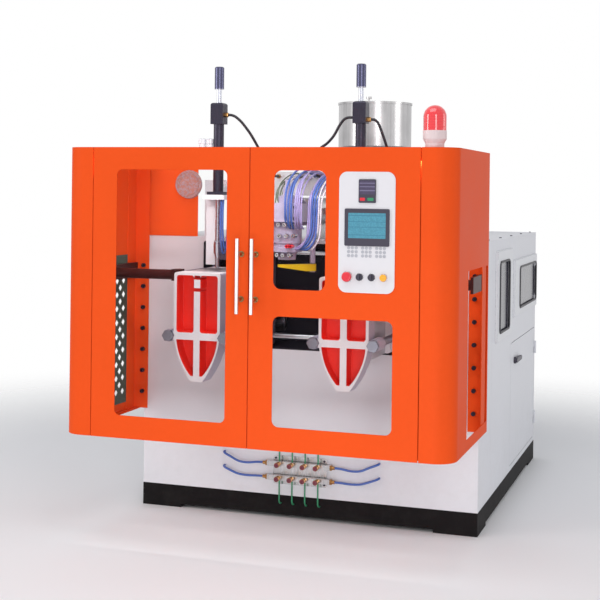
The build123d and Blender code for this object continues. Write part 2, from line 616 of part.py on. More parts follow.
def hood_door(side, windows):
    """A flanged door skin with its windows and pivot knuckles. Windows are given where they are."""
    front = HOOD_FRONT
    with BuildPart() as door:
        x_near = SEAM / 2
        block((side * x_near, side * DOOR_EDGE), (front, front + SHEET), (HOOD_BOTTOM, HOOD_TOP))
        for low in (HOOD_BOTTOM, HOOD_TOP - SHEET):
            block((side * x_near, side * (DOOR_EDGE - 2 * PIVOT_INSET)), (front, front + FOLD),
                  (low, low + SHEET))
        block((side * x_near, side * (x_near + SHEET)), (front, front + FOLD), (HOOD_BOTTOM, HOOD_TOP))
        channel = DOOR_EDGE - 2 * PIVOT_INSET
        block((side * channel, side * (channel - SHEET)), (front, front + FOLD),
              (HOOD_BOTTOM, HOOD_TOP))
        for x, z, radius in windows:
            plate(x, (front, front + SHEET), z, radius, mode=Mode.SUBTRACT)
        for z in PIVOT_HEIGHTS:
            for start in (z + LUG_HALF + 0.5, z - LUG_HALF - KNUCKLE):
                block((side * (PIVOT_X - 8), side * (PIVOT_X + 8)), (front + SHEET, PIVOT_Y + 7),
                      (start, start + KNUCKLE - 0.5))
                bar((side * PIVOT_X, PIVOT_Y, start), PIVOT_PIN + RUNNING, KNUCKLE - 0.5,
                    mode=Mode.SUBTRACT)
    return door


def pane(window, grow=PANE_LAP):
    """A pane behind a window, lapping its edge all round."""
    (x_low, x_high), (z_low, z_high), radius = window
    plate((x_low - grow, x_high + grow), (HOOD_FRONT + SHEET, HOOD_FRONT + SHEET + PANE),
          (z_low - grow, z_high + grow), radius)


panel_hole = ((PANEL_X[0] + PANEL_BOX_INSET, PANEL_X[1] - PANEL_BOX_INSET),
              (PANEL_Z[0] + PANEL_BOX_INSET, PANEL_Z[1] - PANEL_BOX_INSET), 4.0)
keep(hood_door(-1, [LEFT_WINDOW]), "left_door")
keep(hood_door(1, [UPPER_WINDOW, LOWER_WINDOW, panel_hole]), "right_door")

with BuildPart() as left_door_window:
    pane(LEFT_WINDOW)
keep(left_door_window, "left_door_window")

with BuildPart() as right_door_windows:
    pane(UPPER_WINDOW)
    pane(LOWER_WINDOW)
keep(right_door_windows, "right_door_windows")


def handle(side):
    """A pull bar on two stand-offs."""
    with BuildPart() as grip:
        bar_y = HOOD_FRONT - HANDLE_REACH + HANDLE_RADIUS
        bar((side * HANDLE_X, bar_y, HANDLE_LOW), HANDLE_RADIUS, HANDLE_HIGH - HANDLE_LOW)
        for z in STAND_OFFS:
            bar((side * HANDLE_X, bar_y, z), HANDLE_RADIUS, HOOD_FRONT - bar_y, "y")
            bar((side * HANDLE_X, HOOD_FRONT - 6, z), HANDLE_RADIUS + 5, 6, "y")
    return grip


keep(handle(-1), "left_door_handle")
keep(handle(1), "right_door_handle")

# Control panel

with BuildPart() as control_panel:
    plate(PANEL_X, (HOOD_FRONT - SHEET, HOOD_FRONT), PANEL_Z, PANEL_CORNER)
    box_x = (panel_hole[0][0] + 0.5, panel_hole[0][1] - 0.5)
    box_z = (panel_hole[1][0] + 0.5, panel_hole[1][1] - 0.5)
    plate(box_x, (HOOD_FRONT, HOOD_FRONT + PANEL_BOX_DEPTH), box_z, 4)
    block((box_x[0] + SHEET, box_x[1] - SHEET), (HOOD_FRONT, HOOD_FRONT + PANEL_BOX_DEPTH - SHEET),
          (box_z[0] + SHEET, box_z[1] - SHEET), mode=Mode.SUBTRACT)
    for x in (STOP_X, START_X, *SELECTOR_X):
        bar((x, HOOD_FRONT - SHEET, BUTTON_Z), STEM + RUNNING, SHEET, "y", mode=Mode.SUBTRACT)
keep(control_panel, "control_panel")

BEZEL_PROUD = 6.0
BEZEL_CORNER = 6.0
CONTROLLER_CORNER = 5.0
GLASS_CORNER = 2.0
GLASS_DEPTH = 1.5
DISPLAY_X = (CONTROLLER_X[0] + 12.0, CONTROLLER_X[1] - 12.0)
DISPLAY_Z = (CONTROLLER_Z[0] + 52.0, CONTROLLER_Z[1] - 14.0)

with BuildPart() as panel_instruments:
    face_y = HOOD_FRONT - SHEET
    bezel_y = (face_y - BEZEL_PROUD, face_y)
    glass_y = (face_y - BEZEL_PROUD, face_y - BEZEL_PROUD + GLASS_DEPTH)
    plate(BEZEL_X, bezel_y, BEZEL_Z, BEZEL_CORNER)
    plate(SCREEN_X, glass_y, SCREEN_Z, GLASS_CORNER, mode=Mode.SUBTRACT)
    plate(CONTROLLER_X, bezel_y, CONTROLLER_Z, CONTROLLER_CORNER)
    plate(DISPLAY_X, glass_y, DISPLAY_Z, GLASS_CORNER, mode=Mode.SUBTRACT)
keep(panel_instruments, "panel_instruments")

STEM_DEPTH = 26.0
PRESS = 6.0
STOP_HEIGHT = 16.0
START_HEIGHT = 9.0
DISHED = 0.3
EASED = 0.12
PANEL_GAP = 0.5
SELECTOR_DISC = 8.0
GRIP_HALF = 4.0
GRIP_PROUD = 12.0
GRIP_Z = (BUTTON_Z - 13.0, BUTTON_Z + 15.0)
GRIP_CORNER = 3.0


def push_button(x, radius, height, rounding):
    """A push button: a head proud of the panel by its travel, on a stem through the panel."""
    with BuildPart() as button:
        base_y = HOOD_FRONT - SHEET - PRESS - PANEL_GAP
        bar((x, base_y, BUTTON_Z), STEM, STEM_DEPTH, "y")
        bar((x, base_y - height, BUTTON_Z), radius, height, "y")
        rim = button.faces().sort_by(Axis.Y)[0].edges()
        fillet(rim, radius * rounding)
    return button


keep(push_button(STOP_X, STOP_HEAD, STOP_HEIGHT, DISHED), "emergency_stop")
keep(push_button(START_X, KNOB_HEAD, START_HEIGHT, EASED), "start_button")


def selector(x):
    """A selector knob with a raised grip, turning in the panel."""
    with BuildPart() as knob:
        face_y = HOOD_FRONT - SHEET - PANEL_GAP
        disc_y = face_y - SELECTOR_DISC
        bar((x, face_y, BUTTON_Z), STEM, STEM_DEPTH, "y")
        bar((x, disc_y, BUTTON_Z), KNOB_HEAD, SELECTOR_DISC, "y")
        plate((x - GRIP_HALF, x + GRIP_HALF), (disc_y - GRIP_PROUD, disc_y), GRIP_Z, GRIP_CORNER)
    return knob


keep(selector(SELECTOR_X[0]), "left_selector")
keep(selector(SELECTOR_X[1]), "right_selector")

# Clamp carriages

RIB = 33.0
RIM = 14.0
TIP_HALF = 32.0
FLANK_BULGE = 14.0
POCKET_DEPTH = 84.0
POCKET_SPLIT = 36.0
POCKET_CORNER = 14.0
NOTCHES = ((15.0, 35.0), (77.0, 95.0))


def flank(x, x_tip, z, z_tip, side):
    """A lower flank of the shield, bowed outwards between its shoulder and its tip."""
    ThreePointArc((side * x, z), (side * ((x + x_tip) / 2 + FLANK_BULGE), (z + z_tip) / 2 - FLANK_BULGE / 2),
                  (side * x_tip, z_tip))


def front_platen(middle):
    """A cast shield-shaped platen with four pockets, two ears and bores for the tie bars."""
    with BuildPart() as platen:
        with BuildSketch(facing(MOULD_FRONT, middle)) as outline:
            with BuildLine():
                Polyline((-PLATEN_HALF, PLATEN_SHOULDER), (-PLATEN_HALF, PLATEN_TOP),
                         (PLATEN_HALF, PLATEN_TOP), (PLATEN_HALF, PLATEN_SHOULDER))
                flank(PLATEN_HALF, TIP_HALF, PLATEN_SHOULDER, PLATEN_TIP, 1)
                Line((TIP_HALF, PLATEN_TIP), (-TIP_HALF, PLATEN_TIP))
                flank(PLATEN_HALF, TIP_HALF, PLATEN_SHOULDER, PLATEN_TIP, -1)
            make_face()
            fillet(outline.vertices().group_by(Axis.Y)[-1], POCKET_CORNER)
            with Locations((-TIE_X, TIE_Z), (TIE_X, TIE_Z)):
                Circle(EAR_RADIUS)
            with Locations((0, TIE_Z)):
                Rectangle(2 * TIE_X, 1.4 * EAR_RADIUS)
        extrude(outline.sketch, amount=PLATEN_THICK)
        inner = PLATEN_HALF - RIM
        split_low = PLATEN_SHOULDER - POCKET_SPLIT / 2
        split_high = split_low + POCKET_SPLIT
        pocket_tip = PLATEN_TIP + 2 * RIM
        with BuildSketch(facing(PLATEN_FRONT + POCKET_DEPTH, middle)) as pockets:
            for side in (-1, 1):
                rounded((side * RIB / 2, side * inner), (split_high, PLATEN_TOP - RIM), POCKET_CORNER)
                with BuildLine():
                    Polyline((side * TIP_HALF, pocket_tip), (side * RIB / 2, pocket_tip),
                             (side * RIB / 2, split_low), (side * inner, split_low))
                    flank(inner, TIP_HALF, split_low, pocket_tip, side)
                make_face()
        extrude(pockets.sketch, amount=POCKET_DEPTH, mode=Mode.SUBTRACT)
        for near, far in NOTCHES:
            block((middle - RIB / 2, middle + RIB / 2), (PLATEN_FRONT, PLATEN_FRONT + POCKET_DEPTH),
                  (PLATEN_TOP - far, PLATEN_TOP - near), mode=Mode.SUBTRACT)
        for side in (-1, 1):
            bar((middle + side * TIE_X, PLATEN_FRONT, TIE_Z), TIE_RADIUS + RUNNING, PLATEN_THICK,
                "y", mode=Mode.SUBTRACT)
    return platen


NUT_THICK = 22.0
CROSS_THICK = 30.0
CROSS_HEIGHT = 230.0
CROSS_GAP = 15.0


def tie_bars(middle):
    """Two tie bars with their nuts, joined behind by a crosshead that clears the cylinder."""
    cross_front = FRAME_BACK + CLAMP_FLANGE + OPENING + CROSS_GAP
    cross_back = cross_front + CROSS_THICK
    with BuildPart() as bars:
        for side in (-1, 1):
            x = middle + side * TIE_X
            bar((x, PLATEN_FRONT - NUT_THICK, TIE_Z), TIE_RADIUS,
                cross_back + 2 * NUT_THICK - PLATEN_FRONT, "y")
            nut((x, PLATEN_FRONT, TIE_Z), NUT_FLATS, -NUT_THICK)
            nut((x, cross_back, TIE_Z), NUT_FLATS, NUT_THICK)
        with BuildSketch(facing(cross_back)) as cross:
            with Locations((middle, (TIE_Z + CLAMP_Z) / 2 + 22)):
                RectangleRounded(2 * (TIE_X + EAR_RADIUS), CROSS_HEIGHT, EAR_RADIUS)
            with Locations((middle, CLAMP_Z)):
                Circle(CLAMP_BARREL + 7, mode=Mode.SUBTRACT)
        extrude(cross.sketch, amount=cross_back - cross_front)
    return bars


RIB_PITCH = 80.0
RIB_THICK = 18.0
RIB_PROUD = 11.0


def rear_platen(middle):
    """The moving rear platen, which slides on the tie bars, with the clamp rod behind it."""
    with BuildPart() as platen:
        with BuildSketch(facing(REAR_PLATEN_BACK)) as outline:
            with Locations((middle, (REAR_PLATEN_LOW + PLATEN_TOP) / 2)):
                RectangleRounded(2 * PLATEN_HALF, PLATEN_TOP - REAR_PLATEN_LOW, 12)
            with Locations((middle - TIE_X, TIE_Z), (middle + TIE_X, TIE_Z)):
                Circle(EAR_RADIUS)
            with Locations((middle, TIE_Z)):
                Rectangle(2 * TIE_X, 2 * EAR_RADIUS)
        extrude(outline.sketch, amount=REAR_PLATEN_THICK)
        for side in (-1, 1):
            bar((middle + side * TIE_X, REAR_PLATEN_FRONT, TIE_Z), TIE_RADIUS + RUNNING,
                REAR_PLATEN_THICK, "y", mode=Mode.SUBTRACT)
        for side in (-1, 0, 1):
            block((middle + side * RIB_PITCH - RIB_THICK / 2, middle + side * RIB_PITCH + RIB_THICK / 2),
                  (REAR_PLATEN_BACK, REAR_PLATEN_BACK + RIB_PROUD), (CLAMP_Z, PLATEN_TOP - RIM))
        rod_end = FRAME_BACK + CLAMP_FLANGE + CLAMP_ROD
        bar((middle, REAR_PLATEN_BACK, CLAMP_Z), CLAMP_ROD, rod_end - REAR_PLATEN_BACK, "y")
    return platen


PORT_RADIUS = 10.0
PORT_LENGTH = 8.0
PORT_INSET = 42.0


def mould_half(middle, front, back):
    """A mould half whose cavity and neck meet the other half at the parting plane."""
    with BuildPart() as half:
        block((middle - MOULD_HALF, middle + MOULD_HALF), (front, back), (MOULD_LOW, MOULD_TOP))
        for z in (MOULD_LOW + PORT_INSET, MOULD_TOP - PORT_INSET):
            bar((middle - MOULD_HALF - PORT_LENGTH, (front + back) / 2, z), PORT_RADIUS,
                2 * (MOULD_HALF + PORT_LENGTH), "x")
        turned(middle, PARTING,
               [(0, BOTTLE_LOW), (BOTTLE_RADIUS, BOTTLE_LOW), (BOTTLE_RADIUS, BOTTLE_SHOULDER),
                (NECK_RADIUS, NECK_LOW), (NECK_RADIUS, MOULD_TOP), (0, MOULD_TOP)],
               mode=Mode.SUBTRACT)
    return half


ROD_GAP = 7.0
CAP_THICK = 25.0
ARM_EYE = 22.0
ARM_HEEL = 70.0


def carriage(side):
    """The frame that slides on the guide rods and carries the clamp, its cylinder and the shift arm."""
    middle = side * STATION
    with BuildPart() as frame:
        with BuildSketch(facing(FRAME_BACK)) as face:
            with Locations((middle, (FRAME_LOW + FRAME_HIGH) / 2)):
                RectangleRounded(2 * FRAME_HALF, FRAME_HIGH - FRAME_LOW, 16)
            window_z = (CLAMP_Z + 75, GUIDE_HEIGHTS[1] - 55)
            for x_side in (-1, 1):
                with Locations((middle + x_side * 105, (window_z[0] + window_z[1]) / 2)):
                    RectangleRounded(90, window_z[1] - window_z[0], 20, mode=Mode.SUBTRACT)
        extrude(face.sketch, amount=FRAME_THICK)
        bar((middle, FRAME_FRONT, CLAMP_Z), CLAMP_ROD + ROD_GAP, FRAME_THICK, "y", mode=Mode.SUBTRACT)
        for z in GUIDE_HEIGHTS:
            bar((middle - FRAME_HALF, GUIDE_Y, z), GUIDE_RADIUS + RUNNING, 2 * FRAME_HALF, "x",
                mode=Mode.SUBTRACT)
        for x_side in (-1, 1):
            bar((middle + x_side * TIE_X, FRAME_FRONT, TIE_Z), TIE_RADIUS + RUNNING, FRAME_THICK,
                "y", mode=Mode.SUBTRACT)
        flange_back = FRAME_BACK + CLAMP_FLANGE
        barrel_back = flange_back + CLAMP_LENGTH
        for half, start, end in ((CLAMP_BARREL + 15, FRAME_BACK, flange_back),
                                 (CLAMP_BARREL + 5, barrel_back, barrel_back + CAP_THICK)):
            block((middle - half, middle + half), (start, end), (CLAMP_Z - half, CLAMP_Z + half))
        bar((middle, flange_back, CLAMP_Z), CLAMP_BARREL, CLAMP_LENGTH, "y")
        bar((middle, FRAME_BACK, CLAMP_Z), CLAMP_ROD + RUNNING, CLAMP_FLANGE + CLAMP_LENGTH - 10, "y",
            mode=Mode.SUBTRACT)
        outer = middle + side * FRAME_HALF
        arm_x = (outer, outer - side * SHIFT_ARM)
        block(arm_x, (SHIFT_Y - ARM_EYE, FRAME_FRONT), (SHIFT_Z - ARM_EYE, SHIFT_Z + ARM_EYE))
        with BuildSketch(Plane.YZ.offset(min(arm_x))) as heel:
            with BuildLine():
                Polyline((FRAME_FRONT - ARM_HEEL, SHIFT_Z - ARM_EYE), (FRAME_FRONT, SHIFT_Z - ARM_EYE),
                         (FRAME_FRONT, SHIFT_Z - ARM_EYE - ARM_HEEL), close=True)
            make_face()
        extrude(heel.sketch, amount=SHIFT_ARM)
        rod_end = HOOD_HALF - 2 * SHEET - ROD_GAP
        rod_start = -rod_end if side < 0 else outer
        bar((rod_start, SHIFT_Y, SHIFT_Z), SHIFT_ROD, rod_end - abs(outer), "x")
    return frame


for side, name in ((-1, "left"), (1, "right")):
    middle = side * STATION
    keep(carriage(side), f"{name}_carriage")
    keep(front_platen(middle), f"{name}_front_platen")
    keep(tie_bars(middle), f"{name}_tie_bars")
    keep(rear_platen(middle), f"{name}_rear_platen")
    keep(mould_half(middle, MOULD_FRONT, PARTING), f"{name}_front_mould")
    keep(mould_half(middle, PARTING, REAR_PLATEN_FRONT), f"{name}_rear_mould")

GLAND = 47.0
GLAND_HALF = 30.0
FOOT_THICK = 14.0
FOOT_HEIGHT = 40.0

with BuildPart() as shift_cylinders:
    for side in (-1, 1):
        far = side * (HOOD_HALF - 2 * SHEET)
        near = side * (STATION + FRAME_HALF + 2 * SHEET)
        barrel_end = near + side * GLAND
        bar((min(far, barrel_end), SHIFT_Y, SHIFT_Z), SHIFT_BARREL, abs(far - barrel_end), "x")
        block((near, barrel_end), (SHIFT_Y - GLAND_HALF, SHIFT_Y + GLAND_HALF),
              (SHIFT_Z - GLAND_HALF, SHIFT_Z + GLAND_HALF))
        block((far, far - side * FOOT_THICK), (SHIFT_Y - GLAND_HALF, ANGLE_Y - SHEET),
              (SHIFT_Z - FOOT_HEIGHT, SHIFT_Z + FOOT_HEIGHT))
        bore_end = far - side * 2
        bar((min(bore_end, near), SHIFT_Y, SHIFT_Z), SHIFT_ROD + RUNNING, abs(bore_end - near), "x",
            mode=Mode.SUBTRACT)
keep(shift_cylinders, "shift_cylinders")

# Blow pins and the frame that carries them

FRAME_POST_X = (STATION + 138.0, STATION + 218.0)
FRAME_BEAM_Y = (HOOD_BACK + 35.0, HOOD_BACK + 115.0)
FRAME_BEAM_Z = (ARM_TOP, ARM_TOP + 80.0)
ARM_HALF = 60.0
ARM_FRONT = PARTING - 70.0
GUIDE_PLATE_LOW = MOULD_TOP + 25.0
GUIDE_PLATE = (18.0, 73.0)
GUIDE_PLATE_THICK = 16.0
GUSSET = 12.0
AIR_PORTS = (-173.0, 70.0, STATION + 143.0)
AIR_BOX_HEIGHT = 46.0
AIR_BOX_DEPTH = 50.0
air_front = FRAME_BEAM_Y[0] + 15
air_z = FRAME_BEAM_Z[1] + AIR_BOX_HEIGHT / 2

with BuildPart() as blow_frame:
    block((-FRAME_POST_X[1], FRAME_POST_X[1]), FRAME_BEAM_Y, FRAME_BEAM_Z)
    for side in (-1, 1):
        middle = side * STATION
        block((side * FRAME_POST_X[0], side * FRAME_POST_X[1]), FRAME_BEAM_Y,
              (BODY_TOP, FRAME_BEAM_Z[1]))
        block((middle - ARM_HALF, middle + ARM_HALF), (ARM_FRONT, FRAME_BEAM_Y[1]),
              (ARM_TOP - ARM_THICK, ARM_TOP))
        for x in (middle - ARM_HALF, middle + ARM_HALF - GUSSET):
            with BuildSketch(Plane.YZ.offset(x)) as gusset:
                with BuildLine():
                    Polyline((PARTING + ARM_HALF, ARM_TOP), (FRAME_BEAM_Y[0], ARM_TOP),
                             (FRAME_BEAM_Y[0], FRAME_BEAM_Z[1]), close=True)
                make_face()
            extrude(gusset.sketch, amount=GUSSET)
        block((middle + side * GUIDE_PLATE[0], middle + side * GUIDE_PLATE[1]),
              (PARTING + 20, PARTING + 20 + GUIDE_PLATE_THICK), (GUIDE_PLATE_LOW, ARM_TOP - ARM_THICK))
        bar((middle, PARTING, ARM_TOP - ARM_THICK), PIN_ROD + 5, ARM_THICK, mode=Mode.SUBTRACT)
    block((AIR_PORTS[0] - 50, AIR_PORTS[2] + 50), (air_front, air_front + AIR_BOX_DEPTH),
          (FRAME_BEAM_Z[1], FRAME_BEAM_Z[1] + AIR_BOX_HEIGHT))
    for x in AIR_PORTS:
        bar((x, air_front - PORT_LENGTH, air_z), PORT_RADIUS, PORT_LENGTH, "y")
keep(blow_frame, "blow_frame")

PORTS = ((-1, 1, HEAD_LOW + 48.0), (1, -1, HEAD_LOW + 30.0), (1, 1, HEAD_LOW + 19.0))
FOOT_PLATE = 16.0
FOOT_PLATE_HALF = 45.0
HEAD_ROUND = 12.0

with BuildPart() as blow_cylinders:
    for side in (-1, 1):
        middle = side * STATION
        block((middle - FOOT_PLATE_HALF, middle + FOOT_PLATE_HALF),
              (PARTING - FOOT_PLATE_HALF, PARTING + FOOT_PLATE_HALF), (ARM_TOP, ARM_TOP + FOOT_PLATE))
        bar((middle, PARTING, ARM_TOP + FOOT_PLATE), CYLINDER_RADIUS, HEAD_LOW - ARM_TOP - FOOT_PLATE)
        block((middle - CYLINDER_HEAD, middle + CYLINDER_HEAD),
              (PARTING - CYLINDER_HEAD, PARTING + CYLINDER_HEAD), (HEAD_LOW, HEAD_TOP))
    fillet(blow_cylinders.edges().group_by(Axis.Z)[-1], HEAD_ROUND)
    for side, way, z in PORTS:
        face_x = side * STATION + way * CYLINDER_HEAD
        start = face_x if way > 0 else face_x - PORT_LENGTH
        bar((start, PARTING, z), PORT_RADIUS, PORT_LENGTH, "x")
    for side in (-1, 1):
        bar((side * STATION, PARTING, ARM_TOP), PIN_ROD + RUNNING, HEAD_TOP - ARM_TOP,
            mode=Mode.SUBTRACT)
keep(blow_cylinders, "blow_cylinders")

COLLAR_RADIUS = 20.0
COLLAR_LOW = PIN_TIP + 75.0
COLLAR_TOP = COLLAR_LOW + 60.0
NOSE_TOP = PIN_TIP + BLOW_STROKE - 7.0


def blow_pin(middle):
    """The stroke knob, piston rod and collar in one piece, with a nozzle tip seated below them."""
    with BuildPart() as pin:
        turned(middle, PARTING,
               [(0, PIN_TIP), (PIN_NOSE - 3, PIN_TIP), (PIN_NOSE, PIN_TIP + 9),
                (PIN_NOSE, NOSE_TOP - RUNNING), (0, NOSE_TOP - RUNNING)])
        turned(middle, PARTING,
               [(0, NOSE_TOP), (PIN_NOSE, NOSE_TOP), (PIN_RADIUS, NOSE_TOP + 6),
                (PIN_RADIUS, COLLAR_LOW), (COLLAR_RADIUS, COLLAR_LOW), (COLLAR_RADIUS, COLLAR_TOP),
                (PIN_ROD, COLLAR_TOP + 6), (PIN_ROD, KNOB_LOW), (KNOB_RADIUS, KNOB_LOW),
                (KNOB_RADIUS, KNOB_TOP - 5), (KNOB_RADIUS - 5, KNOB_TOP), (0, KNOB_TOP)])
    return pin


keep(blow_pin(-STATION), "left_blow_pin")
keep(blow_pin(STATION), "right_blow_pin")

# Hoses and tubes, each held at both ends


END_SHARE = 0.85
INNER_SHARE = 0.45


def hose(points, radius):
    """A round hose along straight runs joined by arcs as large as the runs allow."""
    route = [Vector(*p) for p in points]
    runs = [after - before for before, after in zip(route, route[1:])]
    room = [INNER_SHARE * run.length for run in runs]
    room[0] = END_SHARE * runs[0].length
    room[-1] = END_SHARE * runs[-1].length
    radii = []
    for i in range(len(runs) - 1):
        turn = math.radians(runs[i].get_angle(runs[i + 1]))
        radii.append(min(room[i], room[i + 1]) / math.tan(turn / 2))
    with BuildLine() as path:
        FilletPolyline(*points, radius=radii)
    with BuildSketch(Plane(origin=route[0], z_dir=route[1] - route[0])) as section:
        Circle(radius)
    sweep(section.sketch, path=path.wires()[0])
    return radii


def air_hose(face_x, way, port_z, far_x, route):
    """A hose from a port on a cylinder head to the air box. Its route is given as a share of the
    way along X, a distance behind the cylinder and a drop below the port."""
    start_x = face_x + way * PORT_LENGTH
    points = [(start_x, PARTING, port_z), (start_x + way * 38, PARTING, port_z)]
    for share, behind, drop in route:
        points.append((start_x + share * (far_x - start_x), PARTING + behind, port_z - drop))
    points.append((far_x, air_front - PORT_LENGTH - 75, air_z))
    points.append((far_x, air_front - PORT_LENGTH, air_z))
    return hose(points, HOSE)


with BuildPart() as air_hoses:
    left_port, inner_port, outer_port = AIR_PORTS
    radii = air_hose(-STATION + CYLINDER_HEAD, 1, PORTS[0][2], left_port,
                     [(0.46, 10, 32), (0.71, 38, 94), (0.86, 82, 160), (0.94, 140, 220),
                      (0.98, 205, 270)])
    radii += air_hose(STATION - CYLINDER_HEAD, -1, PORTS[1][2], inner_port,
                      [(0.26, 8, 36), (0.38, 22, 90), (0.55, 48, 130), (0.72, 85, 148),
                       (0.87, 135, 180), (0.97, 195, 235)])
    radii += air_hose(STATION + CYLINDER_HEAD, 1, PORTS[2][2], outer_port,
                      [(0.55, 8, 37), (0.74, 22, 97), (0.86, 56, 159), (0.93, 110, 214),
                       (0.98, 180, 257)])
    print("air hose radii", [round(r) for r in radii])
keep(air_hoses, "air_hoses")

RAIL_HALF_SIDE = 13.0
END_LENGTH = 26.0
END_RADIUS = 9.0
END_FLATS = 26.0
END_NUT = 10.0
BACK_PLATE = 8.0
BACK_PLATE_HALF = 150.0
BACK_PLATE_EDGE = 39.0
BACK_PLATE_CORNER = 10.0
STANDOFF_X = 72.0
STANDOFF_HALF = (12.0, 10.0)
VALVE_STEM = 8.0
VALVE_NUT = 8.0
VALVE_FLATS = 22.0
VALVE_REACH = 26.0
VALVE_CAP = 12.0
VALVE_CAP_RADIUS = 14.0
HOSE_EXIT = 434.0
TUBE_DROPS = (98.0, 130.0)
RAIL_Y = HOOD_BACK - RAIL_STAND

with BuildPart() as water_manifold:
    plate((MANIFOLD_X - BACK_PLATE_HALF, MANIFOLD_X + BACK_PLATE_HALF),
          (HOOD_BACK - BACK_PLATE, HOOD_BACK),
          (RAILS[0] - BACK_PLATE_EDGE, RAILS[1] + BACK_PLATE_EDGE), BACK_PLATE_CORNER)
    half_x, half_z = STANDOFF_HALF
    for z in RAILS:
        block((MANIFOLD_X - RAIL_HALF, MANIFOLD_X + RAIL_HALF),
              (RAIL_Y - RAIL_HALF_SIDE, RAIL_Y + RAIL_HALF_SIDE), (z - RAIL_HALF_SIDE, z + RAIL_HALF_SIDE))
        for x in (MANIFOLD_X - STANDOFF_X, MANIFOLD_X + STANDOFF_X):
            block((x - half_x, x + half_x), (RAIL_Y + RAIL_HALF_SIDE, HOOD_BACK - BACK_PLATE),
                  (z - half_z, z + half_z))
keep(water_manifold, "water_manifold")

with BuildPart() as manifold_valves:
    rail_face = RAIL_Y - RAIL_HALF_SIDE
    for z in RAILS:
        for valve in VALVES:
            x = MANIFOLD_X + valve
            bar((x, rail_face - VALVE_REACH, z), VALVE_STEM, VALVE_REACH, "y")
            nut((x, rail_face - VALVE_NUT, z), VALVE_FLATS, VALVE_NUT)
            bar((x, rail_face - VALVE_REACH - VALVE_CAP, z), VALVE_CAP_RADIUS, VALVE_CAP, "y")
        for side in (-1, 1):
            start = MANIFOLD_X + (RAIL_HALF if side > 0 else -RAIL_HALF - END_LENGTH)
            bar((start, RAIL_Y, z), END_RADIUS, END_LENGTH, "x")
            nut_start = MANIFOLD_X + (RAIL_HALF if side > 0 else -RAIL_HALF - END_NUT)
            nut((nut_start, RAIL_Y, z), END_FLATS, END_NUT, "x")
keep(manifold_valves, "manifold_valves")

with BuildPart() as cooling_hoses:
    end_x = RAIL_HALF + END_LENGTH
    for side in (-1, 1):
        for start_z, exit_z, sag in ((RAILS[1], RAILS[1] + 36, 9), (RAILS[0], RAILS[0] + 34, 3)):
            rise = exit_z - start_z
            along = ((end_x, 0, start_z), (end_x + 34, 0, start_z), (288, -3, start_z - sag),
                     (342, -5, start_z - sag + rise * 0.12), (HOSE_EXIT - 46, -4, start_z + rise * 0.5),
                     (HOSE_EXIT, 2, exit_z), (HOSE_EXIT, RAIL_STAND, exit_z))
            radii = hose([(MANIFOLD_X + side * x, RAIL_Y + y, z) for x, y, z in along], WATER_HOSE)
            print("cooling hose radii", [round(r) for r in radii])
keep(cooling_hoses, "cooling_hoses")

with BuildPart() as valve_tubes:
    for valve in VALVES:
        x = MANIFOLD_X + valve
        for way, rail in ((1, RAILS[1]), (-1, RAILS[0])):
            start_z = rail + way * RAIL_HALF_SIDE
            end_z = start_z + way * TUBE_DROPS[way < 0]
            radii = hose([(x, RAIL_Y, start_z), (x, RAIL_Y, end_z), (x, HOOD_BACK, end_z)], TUBE)
    print("valve tube radii", [round(r) for r in radii])
keep(valve_tubes, "valve_tubes")

# Die head, cutter and extruder

DIE_BOX = 100.0
DIE_BOX_LOW = EXTRUDER_Z - 47.0
DIE_BOX_TOP = EXTRUDER_Z + 47.0
DIE_BODY = 75.0
DIE_BOX_CORNER = 12.0
DIE_FLARE = 6.0
DIE_LIP = DIE_FACE + 40.0
GROOVE_Z = (DIE_FACE + 62.0, DIE_FACE + 84.0)
GROOVE_DEPTH = 7.0
CORE_NUT = (48.0, DIE_BOX_TOP + 31.0)
CORE_STEM = (24.0, DIE_BOX_TOP + 43.0, DIE_BOX_TOP + 81.0)
CORE_END = (14.0, DIE_BOX_TOP + 85.0, DIE_BOX_TOP + 119.0)
BOSS_HALF = 14.0
BARREL_FRONT = PARTING + DIE_BOX
THROAT = 90.0
BARREL_BACK = HOPPER_Y - THROAT

with BuildPart() as die_head:
    turned(0, PARTING,
           [(0, DIE_FACE), (DIE_RADIUS, DIE_FACE), (DIE_RADIUS + DIE_FLARE, DIE_LIP),
            (DIE_BODY, DIE_LIP), (DIE_BODY, GROOVE_Z[0]), (DIE_BODY - GROOVE_DEPTH, GROOVE_Z[0]),
            (DIE_BODY - GROOVE_DEPTH, GROOVE_Z[1]), (DIE_BODY, GROOVE_Z[1]), (DIE_BODY, DIE_BOX_LOW),
            (0, DIE_BOX_LOW)])
    block((-DIE_BOX, DIE_BOX), (PARTING - DIE_BOX, PARTING + DIE_BOX), (DIE_BOX_LOW, DIE_BOX_TOP))
    fillet(die_head.edges().filter_by(Axis.Z).sort_by(Axis.Y)[:2], DIE_BOX_CORNER)
    turned(0, PARTING,
           [(0, DIE_BOX_TOP), (CORE_NUT[0], DIE_BOX_TOP), CORE_NUT,
            (CORE_STEM[0], CORE_STEM[1]), (CORE_STEM[0], CORE_STEM[2]),
            (CORE_END[0], CORE_END[1]), (CORE_END[0], CORE_END[2]), (0, CORE_END[2])])
    pivot_y = PARTING + CUTTER_BACK
    arm_low = CUTTER_LOW + CUTTER_HEIGHT + 2
    block((0, CUTTER_X + BOSS_HALF), (pivot_y - BOSS_HALF, pivot_y + BOSS_HALF),
          (DIE_BOX_LOW - 16, DIE_BOX_LOW))
    bar((CUTTER_X, pivot_y, arm_low), BOSS_HALF, DIE_BOX_LOW - arm_low)
    bar((CUTTER_X, pivot_y, CUTTER_LOW - 2), CUTTER_PIN, CUTTER_HEIGHT + 4)
    bar((CUTTER_X, pivot_y, CUTTER_LOW - 6), BOSS_HALF, 4)
keep(die_head, "die_head")

CUTTER_TIP = (-20.0, -75.0)
CUTTER_HUB = 19.0
CUTTER_EDGE = 9.0

